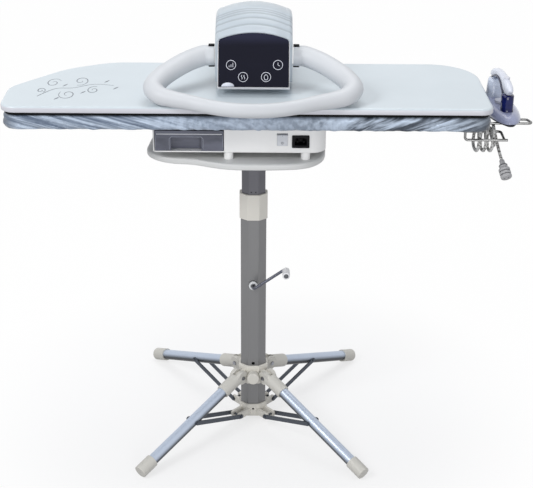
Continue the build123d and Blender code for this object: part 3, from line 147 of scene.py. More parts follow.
class Recipe:
    """The node tree of a material or of the world while it is put together."""

    def __init__(self, name: str, owner: bpy.types.ID | None = None) -> None:
        """Empties the owner's tree.

        Args:
            name: The name of the material that is made where there is no owner.
            owner: The world, or nothing for a new material.
        """
        self.owner = owner or bpy.data.materials.new(name)
        self.owner.use_nodes = True
        self.tree = self.owner.node_tree
        self.tree.nodes.clear()

    def add(
        self,
        kind: str,
        settings: Mapping[str, Any] | None = None,
        inputs: Mapping[Any, Setting] | None = None,
        output: int | str = 0,
    ) -> Wire:
        """Adds one node.

        Args:
            kind: The node's type name.
            settings: Values of the node itself.
            inputs: Values or outputs for its sockets.
            output: Which of its outputs to give back.

        Returns:
            That output.
        """
        node = self.tree.nodes.new(kind)
        for name, value in (settings or {}).items():
            setattr(node, name, value)
        for key, value in (inputs or {}).items():
            if isinstance(value, Wire):
                self.tree.links.new(value.socket, node.inputs[key])
            else:
                node.inputs[key].default_value = value
        return Wire(self, node.outputs[output])

    def maths(self, operation: str, first: Setting, second: Setting) -> Wire:
        """Adds one Math node on two values."""
        return self.add("ShaderNodeMath", {"operation": operation}, {0: first, 1: second})

    def place(self) -> Wire:
        """Gives the point on the piece in the press's own frame."""
        return self.add("ShaderNodeTexCoord", None, None, "Object")

    def axes(self, place: Wire) -> tuple[Wire, Wire, Wire]:
        """Splits a point into its X, Y and Z."""
        split = self.add("ShaderNodeSeparateXYZ", None, {0: place})
        node = split.socket.node
        return (split, Wire(self, node.outputs[1]), Wire(self, node.outputs[2]))

    def stretched(self, place: Wire, scale: tuple[float, float, float], turn: float = 0.0) -> Wire:
        """Scales a point along the axes, after a turn about Z."""
        inputs = {"Vector": place, "Rotation": (0.0, 0.0, turn), "Scale": scale}
        return self.add("ShaderNodeMapping", None, inputs)

    def cloud(self, place: Wire, scale: float, detail: float = 2.0) -> Wire:
        """Gives soft noise from 0 to 1 with that many features to the metre."""
        inputs = {"Vector": place, "Scale": scale, "Detail": detail, "Roughness": 0.55}
        return self.add("ShaderNodeTexNoise", None, inputs)

    def step(self, factor: Wire, low: float, high: float) -> Wire:
        """Rises smoothly from 0 at low to 1 at high."""
        settings = {"interpolation_type": "SMOOTHSTEP"}
        return self.add("ShaderNodeMapRange", settings, {0: factor, 1: low, 2: high})

    def mix(self, factor: Setting, first: Setting, second: Setting) -> Wire:
        """Mixes two colours."""
        inputs = {0: factor, 6: first, 7: second}
        return self.add("ShaderNodeMix", {"data_type": "RGBA"}, inputs, 2)

    def bump(self, height: Wire, depth: float, strength: float = 1.0) -> Wire:
        """Turns a height from 0 to 1 into a normal, for a relief of that depth."""
        inputs = {"Height": height, "Distance": depth, "Strength": strength}
        return self.add("ShaderNodeBump", None, inputs)

    def done(self, inputs: Mapping[str, Setting]) -> bpy.types.Material:
        """Closes the tree with one Principled shader and gives the material."""
        shader = self.add("ShaderNodeBsdfPrincipled", None, inputs)
        self.add_output(shader)
        return self.owner

    def add_output(self, shader: Wire, kind: str = "ShaderNodeOutputMaterial") -> None:
        """Joins a shader to the surface of the material or of the world."""
        node = self.tree.nodes.new(kind)
        self.tree.links.new(shader.socket, node.inputs["Surface"])


@dataclass(frozen=True)
class MouldedPlastic:
    """Injection moulded plastic with a fine grain, faint flow marks and handling gloss."""

    name: str
    colour: Colour
    roughness: float = 0.38
    grain: float = 1400.0
    depth: float = 0.00003
    coat: float = 0.0
    shade: float = 0.95
    shine: float = 0.5

    def make(self) -> bpy.types.Material:
        """Builds the material."""
        recipe = Recipe(self.name)
        place = recipe.place()
        flow = recipe.cloud(place, 9.0, 3.0)
        fine = recipe.cloud(place, self.grain)
        rubbed = recipe.cloud(place, 42.0, 4.0)
        colour = recipe.mix(recipe.step(flow, 0.3, 0.75), self.colour, shaded(self.colour, self.shade))
        return recipe.done(
            {
                "Base Color": colour,
                "Roughness": self.roughness + (rubbed - 0.5) * 0.16,
                "Normal": recipe.bump(fine + flow * 0.5, self.depth, 0.6),
                "Coat Weight": self.coat,
                "Coat Roughness": 0.12,
                "Specular IOR Level": self.shine,
                "IOR": 1.46,
            }
        )


@dataclass(frozen=True)
class TwoTonePlastic:
    """Painted top of the upper plate over its paler rim, with a soft border between them and painted shade
    low on the rim.
    """

    name: str
    top: Colour
    rim: Colour
    border: float

    def make(self) -> bpy.types.Material:
        """Builds the material."""
        recipe = Recipe(self.name)
        place = recipe.place()
        height = recipe.axes(place)[2]
        flow = recipe.cloud(place, 5.0, 3.0)
        fine = recipe.cloud(place, 1100.0)
        top = recipe.mix(recipe.step(flow, 0.3, 0.7), self.top, shaded(self.top, 0.955))
        # Painted shade: the rim darkens towards its lower edge, where it turns under.
        rise = recipe.step(height, self.border - 0.012, self.border - 0.002)
        rim = recipe.mix(rise, shaded(self.rim, 0.86), self.rim)
        above = recipe.step(height, self.border - 0.0012, self.border + 0.0006)
        return recipe.done(
            {
                "Base Color": recipe.mix(above, rim, top),
                "Roughness": 0.3 + (flow - 0.5) * 0.12,
                "Normal": recipe.bump(fine, 0.00002, 0.5),
                "Coat Weight": 0.15,
                "Coat Roughness": 0.15,
            }
        )


@dataclass(frozen=True)
class ClearPlastic:
    """See-through moulded plastic, tinted, with flow lines, light scuffing and painted shade along its
    grooves.
    """

    name: str
    colour: Colour
    clear: float
    roughness: float = 0.12
    mottle: float = 0.9
    ripple: float = 0.0003
    ribs: tuple[float, ...] = ()

    def make(self) -> bpy.types.Material:
        """Builds the material."""
        recipe = Recipe(self.name)
        place = recipe.place()
        flow = recipe.cloud(recipe.stretched(place, (1.0, 1.0, 3.0)), 16.0, 3.0)
        scuff = recipe.cloud(place, 90.0, 4.0)
        colour = recipe.mix(recipe.step(flow, 0.3, 0.75), self.colour, shaded(self.colour, self.mottle))
        depth = recipe.axes(place)[1]
        # Painted shade: the colour darkens along each groove of the hood.
        for rib in self.ribs:
            line = 1.0 - recipe.step(recipe.maths("ABSOLUTE", depth - rib, 0.0), 0.0003, 0.0028)
            colour = recipe.mix(line * 0.6, colour, shaded(self.colour, 0.6))
        return recipe.done(
            {
                "Base Color": colour,
                "Roughness": self.roughness + recipe.step(scuff, 0.5, 0.75) * 0.1,
                "Normal": recipe.bump(flow, self.ripple, 0.25),
                "Transmission Weight": self.clear,
                "IOR": 1.3,
                "Coat Weight": 0.3,
                "Coat Roughness": 0.06,
            }
        )


@dataclass(frozen=True)
class PaintedMetal:
    """Powder coat on steel: orange peel, soft sheen, darker rubbed places and painted shade on the
    undersides.
    """

    name: str
    colour: Colour
    metallic: float = 0.35
    roughness: float = 0.42
    peel: float = 620.0
    wear: float = 0.16
    scratches: float = 0.5
    relief: float = 0.00006
    shine: float = 0.5
    underside_shade: float = 1.0

    def make(self) -> bpy.types.Material:
        """Builds the material."""
        recipe = Recipe(self.name)
        place = recipe.place()
        peel = recipe.cloud(place, self.peel, 1.0)
        broad = recipe.cloud(recipe.stretched(place, (1.0, 1.0, 0.35)), 12.0, 4.0)
        scratch = recipe.cloud(recipe.stretched(place, (30.0, 30.0, 1.5)), 24.0, 3.0)
        colour = recipe.mix(recipe.step(broad, 0.35, 0.7), self.colour, shaded(self.colour, 1.0 - self.wear))
        scratched = recipe.step(scratch, 0.68, 0.74)
        # Painted shade: the colour darkens on faces that point down in the piece's own frame.
        facing = recipe.axes(recipe.add("ShaderNodeTexCoord", None, None, "Normal"))[2]
        under = recipe.mix(recipe.step(facing, -0.25, 0.62), shaded(self.colour, self.underside_shade), colour)
        return recipe.done(
            {
                "Base Color": recipe.mix(scratched * self.scratches, under, shaded(self.colour, 1.25)),
                "Metallic": self.metallic,
                "Roughness": self.roughness + (broad - 0.5) * 0.14,
                "Specular IOR Level": self.shine,
                "Normal": recipe.bump(peel, self.relief, 0.5),
            }
        )


@dataclass(frozen=True)
class BareMetal:
    """Drawn or ground metal with fine lines along one axis and cloudy oxide."""

    name: str
    colour: Colour
    roughness: float = 0.28
    lines: tuple[float, float, float] = (60.0, 60.0, 2.0)
    stain: float = 0.25

    def make(self) -> bpy.types.Material:
        """Builds the material."""
        recipe = Recipe(self.name)
        place = recipe.place()
        drawn = recipe.cloud(recipe.stretched(place, self.lines), 30.0, 2.0)
        oxide = recipe.cloud(place, 55.0, 4.0)
        colour = recipe.mix(recipe.step(oxide, 0.45, 0.8), self.colour, shaded(self.colour, 1.0 - self.stain))
        return recipe.done(
            {
                "Base Color": colour,
                "Metallic": 1.0,
                "Roughness": self.roughness + (oxide - 0.5) * 0.2,
                "Normal": recipe.bump(drawn, 0.00004, 0.5),
            }
        )


@dataclass(frozen=True)
class SatinCloth:
    """Woven cloth with a metallised satin face, with painted highlights along its folds, painted shade
    between them, towards its right and at both ends.
    """

    name: str
    bright: Colour
    dull: Colour
    threads: float = 1500.0
    middle: float = 0.7068

    def make(self) -> bpy.types.Material:
        """Builds the material."""
        recipe = Recipe(self.name)
        place = recipe.place()
        bands = {"bands_direction": "DIAGONAL"}
        weave = recipe.add("ShaderNodeTexWave", bands, {"Vector": place, "Scale": self.threads / 6.3})
        across = recipe.stretched(place, (1.0, -1.0, 1.0))
        weft = recipe.add("ShaderNodeTexWave", bands, {"Vector": across, "Scale": self.threads / 6.3})
        across, depth, height = recipe.axes(place)
        share = recipe.step(across, -0.15, 0.3)
        fall = height - self.middle
        along = across - (share * 6.1 - 3.5) * fall + depth * 0.6
        line = recipe.add("ShaderNodeCombineXYZ", None, {0: along, 1: height * 0.6, 2: depth * 0.2})
        streak = recipe.cloud(line, 62.0, 3.0)
        broad = recipe.cloud(line, 13.0, 2.0)
        crumpled = recipe.cloud(place, 95.0, 4.0)
        between = recipe.step(across, -0.24, -0.05) * (1.0 - recipe.step(across, 0.08, 0.2))
        # Painted highlight and shade: the colour runs from the dull to the bright satin across each fold,
        # with less contrast in the middle of the board.
        fold = streak * 0.55 + broad * 0.45 - share * 0.055
        crest = recipe.step(fold + (crumpled - fold) * (between * 0.7), 0.37, 0.57)
        fold_highlight = crest * (1.0 - between * 0.7) + between * 0.4
        # Painted shade: the dull satin darkens towards the right, and the bright satin darkens at both ends.
        dull = recipe.mix(share, self.dull, shaded(self.dull, 0.3))
        ends = recipe.step(across, 0.35, 0.45) + recipe.step(across * -1.0, 0.425, 0.462)
        bright = recipe.mix(ends, self.bright, shaded(self.bright, 0.3))
        return recipe.done(
            {
                "Base Color": recipe.mix(fold_highlight, dull, bright),
                "Metallic": 0.2,
                "Roughness": 0.38 + (streak - 0.5) * 0.12,
                "Normal": recipe.bump(
                    weave * 0.12 + weft * 0.12 + streak + crumpled * (between * 0.8), 0.0018, 0.6
                ),
                "Sheen Weight": 0.3,
                "Sheen Roughness": 0.4,
            }
        )


@dataclass(frozen=True)
class BraidedCotton:
    """Braided cord jacket: crossing plaits in two tones with loose flecks."""

    name: str
    light: Colour
    dark: Colour

    def make(self) -> bpy.types.Material:
        """Builds the material."""
        recipe = Recipe(self.name)
        place = recipe.place()
        plait = recipe.add("ShaderNodeTexVoronoi", None, {"Vector": place, "Scale": 420.0})
        fleck = recipe.cloud(place, 260.0, 1.0)
        yarn = recipe.cloud(place, 2400.0, 1.0)
        dark = recipe.step(fleck, 0.52, 0.6)
        return recipe.done(
            {
                "Base Color": recipe.mix(dark, self.light, self.dark),
                "Roughness": 0.78 + (yarn - 0.5) * 0.2,
                "Normal": recipe.bump((1.0 - plait) + yarn * 0.3, 0.0004, 0.7),
                "Sheen Weight": 0.3,
            }
        )


@dataclass(frozen=True)
class GlossPanel:
    """Glass-smooth front of the touch panel with faint smears and a painted highlight along its upper edge.
    """

    name: str
    colour: Colour

    def make(self) -> bpy.types.Material:
        """Builds the material."""
        recipe = Recipe(self.name)
        place = recipe.place()
        smear = recipe.cloud(recipe.stretched(place, (1.0, 1.0, 2.5), 0.4), 30.0, 4.0)
        height = recipe.axes(place)[2]
        # Painted highlight: the colour grows lighter towards the panel's upper edge.
        top_highlight = recipe.mix(recipe.step(height, 0.826, 0.844), self.colour, shaded(self.colour, 2.6))
        return recipe.done(
            {
                "Base Color": recipe.mix(
                    recipe.step(smear, 0.5, 0.8) * 0.4, top_highlight, shaded(self.colour, 1.5)
                ),
                "Roughness": 0.16 + recipe.step(smear, 0.45, 0.8) * 0.12,
                "Normal": recipe.bump(smear, 0.00004, 0.3),
                "Specular IOR Level": 0.12,
            }
        )


@dataclass(frozen=True)
class PressedFelt:
    """Felt and heat cloth: a short random nap."""

    name: str
    colour: Colour

    def make(self) -> bpy.types.Material:
        """Builds the material."""
        recipe = Recipe(self.name)
        place = recipe.place()
        nap = recipe.cloud(place, 900.0, 4.0)
        cloud = recipe.cloud(place, 30.0, 3.0)
        return recipe.done(
            {
                "Base Color": recipe.mix(cloud, self.colour, shaded(self.colour, 0.8)),
                "Roughness": 0.85 + (nap - 0.5) * 0.1,
                "Normal": recipe.bump(nap, 0.0004, 0.6),
                "Sheen Weight": 0.4,
            }
        )


@dataclass(frozen=True)
class PrintedBoard:
    """Circuit board lacquer with paths, above which the parts are dark."""

    name: str
    colour: Colour
    parts_from: float

    def make(self) -> bpy.types.Material:
        """Builds the material."""
        recipe = Recipe(self.name)
        place = recipe.place()
        height = recipe.axes(place)[2]
        paths = recipe.add("ShaderNodeTexBrick", None, {"Vector": place, "Scale": 90.0}, "Fac")
        lacquer = recipe.mix(paths, self.colour, shaded(self.colour, 2.2))
        return recipe.done(
            {
                "Base Color": recipe.mix(height > self.parts_from, lacquer, paint(58, 60, 66)),
                "Roughness": 0.42 + paths * 0.1,
                "Normal": recipe.bump(paths, 0.0001, 0.4),
            }
        )


def dress(material: bpy.types.Material, *nodes: str) -> None:
    """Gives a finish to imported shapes.

    Args:
        material: The finish.
        *nodes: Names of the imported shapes.
    """
    for name in nodes:
        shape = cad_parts[name]
        for holder in shape.material_slots:
            holder.material = material


def as_piece(name: str, mesh: bpy.types.Mesh, material: bpy.types.Material) -> bpy.types.Object:
    """Puts a mesh into the scene as a smooth piece with one finish.

    Args:
        name: The piece's name.
        mesh: Its mesh, in the press's frame.
        material: Its finish.

    Returns:
        The new object.
    """
    shape = bmesh.new()
    shape.from_mesh(mesh)
    bmesh.ops.remove_doubles(shape, verts=shape.verts, dist=0.000002)
    bmesh.ops.recalc_face_normals(shape, faces=shape.faces)
    shape.to_mesh(mesh)
    shape.free()
    mesh.materials.clear()
    mesh.materials.append(material)
    for face in mesh.polygons:
        face.use_smooth = True
    piece = bpy.data.objects.new(name, mesh)
    bpy.context.scene.collection.objects.link(piece)
    return piece


def skin(name: str, rings: Sequence[Sequence[Place]], wrap: Wrap, closed: bool = True) -> bpy.types.Mesh:
    """Joins rings of points with quads.

    Args:
        name: The mesh's name.
        rings: Rows of points, all of one count.
        wrap: Whether the ends are capped, open or joined to each other.
        closed: Whether the last point of a ring joins its first.

    Returns:
        The mesh.
    """
    count = len(rings[0])
    points = [tuple(point) for ring in rings for point in ring]
    faces: list[tuple[int, ...]] = []
    rows = len(rings) if wrap is Wrap.LOOPED else len(rings) - 1
    for row in range(rows):
        here = row * count
        there = ((row + 1) % len(rings)) * count
        for index in range(count if closed else count - 1):
            after = (index + 1) % count
            faces.append((here + index, here + after, there + after, there + index))
    if wrap is Wrap.CAPPED:
        faces.append(tuple(range(count)))
        faces.append(tuple(range((len(rings) - 1) * count, len(rings) * count)))
    mesh = bpy.data.meshes.new(name)
    mesh.from_pydata(points, [], faces)
    return mesh


def worked(piece: bpy.types.Object, kind: str, **settings: Any) -> bpy.types.Object:
    """Puts one modifier on a piece and applies it.

    Args:
        piece: The piece to work.
        kind: The modifier's type name.
        **settings: The modifier's values.

    Returns:
        The same piece.
    """
    tool = piece.modifiers.new(kind.title(), kind)
    for name, value in settings.items():
        setattr(tool, name, value)
    graph = bpy.context.evaluated_depsgraph_get()
    mesh = bpy.data.meshes.new_from_object(piece.evaluated_get(graph))
    piece.modifiers.clear()
    piece.data = mesh
    for face in mesh.polygons:
        face.use_smooth = True
    return piece


def flowing(points: Sequence[Vector], steps: int) -> list[Vector]:
    """Draws a smooth line through stations, with any number of values in each.

    Args:
        points: The stations.
        steps: How many points to make in each gap.

    Returns:
        The points of the line, the stations among them.
    """
    line = []
    last = len(points) - 1
    for index in range(last):
        before = points[max(index - 1, 0)]
        start = points[index]
        end = points[index + 1]
        after = points[min(index + 2, last)]
        for step in range(steps):
            t = step / steps
            bend = (2 * before - 5 * start + 4 * end - after) * t * t
            twist = (3 * start - before - 3 * end + after) * t * t * t
            line.append(0.5 * (2 * start + (end - before) * t + bend + twist))
    line.append(points[last])
    return line


def hose(line: Sequence[Vector], sides: int) -> list[list[Vector]]:
    """Makes rings round a line.

    Args:
        line: Stations of X, Y, Z and radius.
        sides: How many points each ring has.

    Returns:
        The rings, turned as little as possible from one to the next.
    """
    rings = []
    up = Vector((0.0, 0.0, 1.0))
    last = len(line) - 1
    for index, station in enumerate(line):
        ahead = Vector(line[min(index + 1, last)][:3])
        behind = Vector(line[max(index - 1, 0)][:3])
        way = (ahead - behind).normalized()
        side = way.cross(up).normalized()
        up = side.cross(way).normalized()
        centre = Vector(station[:3])
        ring = []
        for turn in range(sides):
            angle = 2 * math.pi * turn / sides
            ring.append(centre + (side * math.cos(angle) + up * math.sin(angle)) * station[3])
        rings.append(ring)
    return rings


def circle(count: int) -> list[tuple[float, float]]:
    """Gives the cosine and sine of evenly spaced angles, all the way round."""
    angles = [2 * math.pi * turn / count for turn in range(count)]
    return [(math.cos(angle), math.sin(angle)) for angle in angles]


def squared(value: float, power: float) -> float:
    """Raises a cosine or sine to a power and keeps its sign, so that an oval turns squarer."""
    return math.copysign(abs(value) ** power, value)


def rounded(corners: Sequence[tuple[float, float, float]], steps: int) -> list[Vector]:
    """Rounds the corners of a closed plan.

    Args:
        corners: Each corner's X, Y and radius.
        steps: How many runs make up each corner.

    Returns:
        The plan's points.
    """
    plan = []
    for index, (x, y, radius) in enumerate(corners):
        here = Vector((x, y))
        to_last = (Vector(corners[index - 1][:2]) - here).normalized()
        to_next = (Vector(corners[(index + 1) % len(corners)][:2]) - here).normalized()
        half = to_last.angle(to_next) / 2
        middle = here + (to_last + to_next).normalized() * radius / math.sin(half)
        start = here + to_last * radius / math.tan(half) - middle
        end = here + to_next * radius / math.tan(half) - middle
        for step in range(steps + 1):
            t = step / steps
            mixed = (start * (1 - t) + end * t).normalized() * radius
            plan.append(middle + mixed)
    return plan


def evenly(plan: Sequence[Vector], count: int) -> list[Vector]:
    """Spreads points evenly round a closed plan.

    Args:
        plan: The plan's points.
        count: How many points to give back.

    Returns:
        The even points.
    """
    closed = list(plan) + [plan[0]]
    lengths = [(b - a).length for a, b in zip(closed, closed[1:])]
    total = sum(lengths)
    points = []
    run = 0
    passed = 0.0
    for index in range(count):
        goal = total * index / count
        while passed + lengths[run] < goal:
            passed += lengths[run]
            run += 1
        share = (goal - passed) / max(lengths[run], 1e-9)
        points.append(closed[run].lerp(closed[run + 1], share))
    return points


def strip(
    name: str, line: Sequence[Place], radius: float, material: bpy.types.Material, closed: bool = False
) -> bpy.types.Object:
    """Draws a thin raised line along points.

    Args:
        name: The piece's name.
        line: The points.
        radius: Half the line's thickness.
        material: Its finish.
        closed: Whether it joins its own start.

    Returns:
        The piece, as a mesh.
    """
    curve = bpy.data.curves.new(name, "CURVE")
    curve.dimensions = "3D"
    curve.bevel_depth = radius
    curve.bevel_resolution = 2
    curve.use_fill_caps = True
    spline = curve.splines.new("POLY")
    spline.points.add(len(line) - 1)
    for point, place in zip(spline.points, line):
        point.co = (*place, 1.0)
    spline.use_cyclic_u = closed
    holder = bpy.data.objects.new(name, curve)
    mesh = bpy.data.meshes.new_from_object(holder)
    bpy.data.objects.remove(holder)
    return as_piece(name, mesh, material)


def join(name: str, pieces: Sequence[bpy.types.Object]) -> bpy.types.Object:
    """Makes one piece out of several that touch or stand together.

    Args:
        name: The joined piece's name.
        pieces: The pieces, which are used up.

    Returns:
        The joined piece.
    """
    first = pieces[0]
    shape = bmesh.new()
    for piece in pieces:
        shape.from_mesh(piece.data)
    mesh = bpy.data.meshes.new(name)
    shape.to_mesh(mesh)
    shape.free()
    for material in first.data.materials:
        mesh.materials.append(material)
    for face in mesh.polygons:
        face.use_smooth = True
    for piece in pieces:
        bpy.data.objects.remove(piece)
    joined = bpy.data.objects.new(name, mesh)
    bpy.context.scene.collection.objects.link(joined)
    return joined


@dataclass
class Stand:
    """Column, folding legs, struts, hub and the crank that raises the mast."""

    pin_hole_height: float = 0.5218
    pin_hole_spread: float = 0.0045

    def build(self) -> None:
        """Dresses the stand's shapes and adds the mast's small pin holes."""
        self._dress_column()
        self._dress_legs()
        self._dress_crank()
        self._add_pin_holes()
        self._add_crank_trim()
        log.info("stand: column, legs, struts, hub, crank and gear dressed")

    def _dress_column(self) -> None:
        """Finishes the tubes and their mouldings."""
        column = PaintedMetal("column_paint", paint(126, 126, 127), 0.45, 0.34, scratches=0.9)
        dress(column.make(), "column_tube")
        dress(PaintedMetal("mast_paint", paint(98, 98, 104), 0.45, 0.32).make(), "mast_tube")
        cream = MouldedPlastic("cream_moulding", paint(219, 216, 208), 0.4)
        dress(cream.make(), "column_collar", "strut_ring", "leg_hub")
        knob = MouldedPlastic("knob_moulding", paint(214, 211, 203), 0.36)
        dress(knob.make(), "lock_knob")

    def _dress_legs(self) -> None:
        """Finishes the legs, their caps and the twin struts."""
        silver = PaintedMetal(
            "leg_paint", paint(190, 201, 218), 0.4, 0.36, 500.0, 0.05, 0.0, 0.000001, underside_shade=0.05
        ).make()
        grey = MouldedPlastic("cap_moulding", paint(205, 203, 196), 0.45).make()
        dark = PaintedMetal("strut_paint", paint(74, 79, 88), 0.55, 0.36, 700.0, 0.2).make()
        for corner in ("fr", "fl", "bl", "br"):
            dress(silver, "leg_tube_" + corner)
            dress(grey, "leg_socket_" + corner, "foot_cap_" + corner)
            dress(dark, "strut_" + corner)
        dress(BareMetal("screw_steel", paint(150, 152, 158), 0.3).make(), "hinge_screws")

    def _dress_crank(self) -> None:
        """Finishes the rod, its grip and the gear inside."""
        dress(BareMetal("rod_steel", paint(92, 94, 104), 0.3).make(), "crank_arm")
        dress(MouldedPlastic("grip_moulding", paint(236, 236, 238), 0.34).make(), "crank_knob")
        gear = BareMetal("gear_steel", paint(150, 146, 138), 0.4, (20.0, 20.0, 20.0))
        dress(gear.make(), "pinion", "mast_rack")
        dress(PaintedMetal("clamp_paint", paint(96, 98, 104), 0.5, 0.45).make(), "rack_clamp")

    def _add_pin_holes(self) -> None:
        """Adds the two small holes on the mast's front face, just over the collar, as near-black discs of
        painted shade.
        """
        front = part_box("mast_tube")[0].y
        # Painted shade: each hole is a near-black disc on the face, for the shade inside it.
        dark = MouldedPlastic("hole_shade", paint(16, 16, 19), 0.7, shine=0.1).make()
        plugs = []
        for side in (-1, 1):
            rings = []
            for reach, radius in ((0.0002, 0.0011), (-0.0001, 0.0013), (-0.0004, 0.0009), (-0.0002, 0.0002)):
                ring = []
                for across, up in circle(16):
                    x = side * self.pin_hole_spread + radius * across
                    ring.append((x, front + reach, self.pin_hole_height + radius * up))
                rings.append(ring)
            plugs.append(as_piece("pin_hole", skin("pin_hole", rings, Wrap.CAPPED), dark))
        holes = join("mast_pin_holes", plugs)
        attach(holes, Body.MAST.value)

    def _add_crank_trim(self) -> None:
        """Adds the bright bush on the crank's boss and the dark end of its grip."""
        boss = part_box("column_tube")[0].y
        bright = MouldedPlastic("bush_moulding", paint(226, 228, 230), 0.28, coat=0.3).make()
        profile = (
            (0.0038, 0.0),
            (0.0078, -0.0007),
            (0.0088, 0.0002),
            (0.0090, 0.0030),
            (0.0086, 0.0066),
            (0.0071, 0.0066),
            (0.0071, 0.0002),
        )
        bush = self._turned("crank_bush", (0.0, boss, 0.320), profile, Wrap.LOOPED, bright)
        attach(bush, Body.COLUMN.value)
        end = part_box("crank_knob")[0].y
        dark = MouldedPlastic("grip_end_moulding", paint(92, 94, 98), 0.5).make()
        profile = ((0.0006, -0.0003), (0.0044, -0.0004), (0.0048, 0.0), (0.0044, 0.0006), (0.0006, 0.0006))
        plug = self._turned("crank_grip_end", (0.0656, end, 0.367), profile, Wrap.CAPPED, dark)
        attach(plug, Body.CRANK_GRIP.value)

    def _turned(
        self,
        name: str,
        middle: Place,
        profile: Sequence[tuple[float, float]],
        wrap: Wrap,
        finish: bpy.types.Material,
    ) -> bpy.types.Object:
        """Turns a profile of radius and depth round a line along Y.

        Args:
            name: The piece's name.
            middle: A point of that line.
            profile: The radius and the depth behind the middle, for each ring.
            wrap: How the rings are joined.
            finish: The piece's material.

        Returns:
            The piece.
        """
        rings = []
        for radius, depth in profile:
            ring = []
            for across, up in circle(32):
                ring.append((middle[0] + radius * across, middle[1] + depth, middle[2] + radius * up))
            rings.append(ring)
        return as_piece(name, skin(name, rings, wrap), finish)


@dataclass
class Base:
    """Shelf, posts, base housing and what is built into it."""

    lid_gap: float = 0.0065
    grip: tuple[float, float] = (-0.1585, -0.0945)
    grip_top: float = 0.6655
    grip_bevel: float = 0.004
    mark_lift: float = 0.0006
    mark_radius: float = 0.00045
    off_radius: float = 0.002
    parts_height: float = 0.009

    def build(self) -> None:
        """Dresses the base and adds the tank's lid line and the switch's marks."""
        shelf = MouldedPlastic("shelf_moulding", paint(214, 215, 214), 0.4)
        dress(shelf.make(), "platform")
        white = MouldedPlastic("housing_moulding", paint(246, 246, 245), 0.34, coat=0.1)
        dress(white.make(), "base_shell", "base_posts")
        dress(ClearPlastic("tank_moulding", paint(122, 125, 140), 0.2, 0.14, 0.62).make(), "water_tank")
        dress(MouldedPlastic("switch_moulding", paint(214, 217, 222), 0.3).make(), "power_switch")
        dress(MouldedPlastic("inlet_moulding", paint(17, 17, 20), 0.5, shine=0.12).make(), "inlet_socket")
        metal = BareMetal("pump_steel", paint(168, 166, 160), 0.36)
        dress(metal.make(), "pump")
        parts_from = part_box("control_board")[0].z + self.parts_height
        dress(PrintedBoard("board_lacquer", paint(28, 92, 52), parts_from).make(), "control_board")
        self._add_tank_lid()
        self._add_tank_edge_highlights()
        self._add_switch_marks()
        log.info("base: shelf, housing, tank, switch, inlet, pump and circuit board dressed")

    def _add_tank_lid(self) -> None:
        """Adds the pale lid strip along the top of the tank's front."""
        low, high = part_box("water_tank")
        top = high.z - self.lid_gap
        rings = []
        for x in (low.x + 0.003, low.x + 0.006, high.x - 0.006, high.x - 0.003):
            edge = 0.0 if low.x + 0.004 < x < high.x - 0.004 else 0.0006
            front = -0.0005 + edge
            ring = []
            for y, z in ((0.0004, -0.0011), (front, -0.0007), (front, 0.0007), (0.0004, 0.0011)):
                ring.append((x, low.y + y, top + z))
            rings.append(ring)
        finish = MouldedPlastic("lid_moulding", paint(212, 214, 218), 0.32).make()
        lid = as_piece("tank_lid_strip", skin("tank_lid_strip", rings, Wrap.CAPPED), finish)
        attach(lid, Body.TANK.value)

    def _add_tank_edge_highlights(self) -> None:
        """Adds pale strips along the moulded edges round the tank's grip and ends, as painted highlights
        where they catch the light.
        """
        low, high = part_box("water_tank")
        front = low.y + 0.0002
        left, right = self.grip
        top = self.grip_top
        foot = low.z + 0.002
        bevel = self.grip_bevel
        arch = [
            (left, foot),
            (left, top - bevel),
            (left + bevel, top),
            (right - bevel, top),
            (right, top - bevel),
            (right, foot),
        ]
        # Painted highlight: the strips are paler than the tank, for the light on its edges.
        finish = MouldedPlastic("tank_edge_highlight", paint(150, 154, 166), 0.25, coat=0.3).make()
        lines = [strip("edge", [(x, front, z) for x, z in arch], 0.0006, finish)]
        for x in (low.x + 0.0022, high.x - 0.0022):
            lines.append(strip("edge", [(x, front, foot), (x, front, high.z - 0.009)], 0.0005, finish))
        edges = join("tank_edge_highlights", lines)
        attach(edges, Body.TANK.value)

    def _add_switch_marks(self) -> None:
        """Adds the plain I and O of a mains rocker."""
        low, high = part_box("power_switch")
        middle = (low.x + high.x) / 2
        front = low.y - 0.0001 + self.mark_lift
        ink = MouldedPlastic("switch_ink", paint(168, 170, 176), 0.5).make()
        ends = [(middle, front, low.z + 0.019), (middle, front, low.z + 0.0225)]
        bar = strip("mark", ends, self.mark_radius, ink)
        radius = self.off_radius
        ring = [(middle + radius * x, front, low.z + 0.006 + radius * z) for x, z in circle(20)]
        marks = join("switch_marks", [bar, strip("mark", ring, self.mark_radius, ink, True)])
        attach(marks, Body.SWITCH.value)


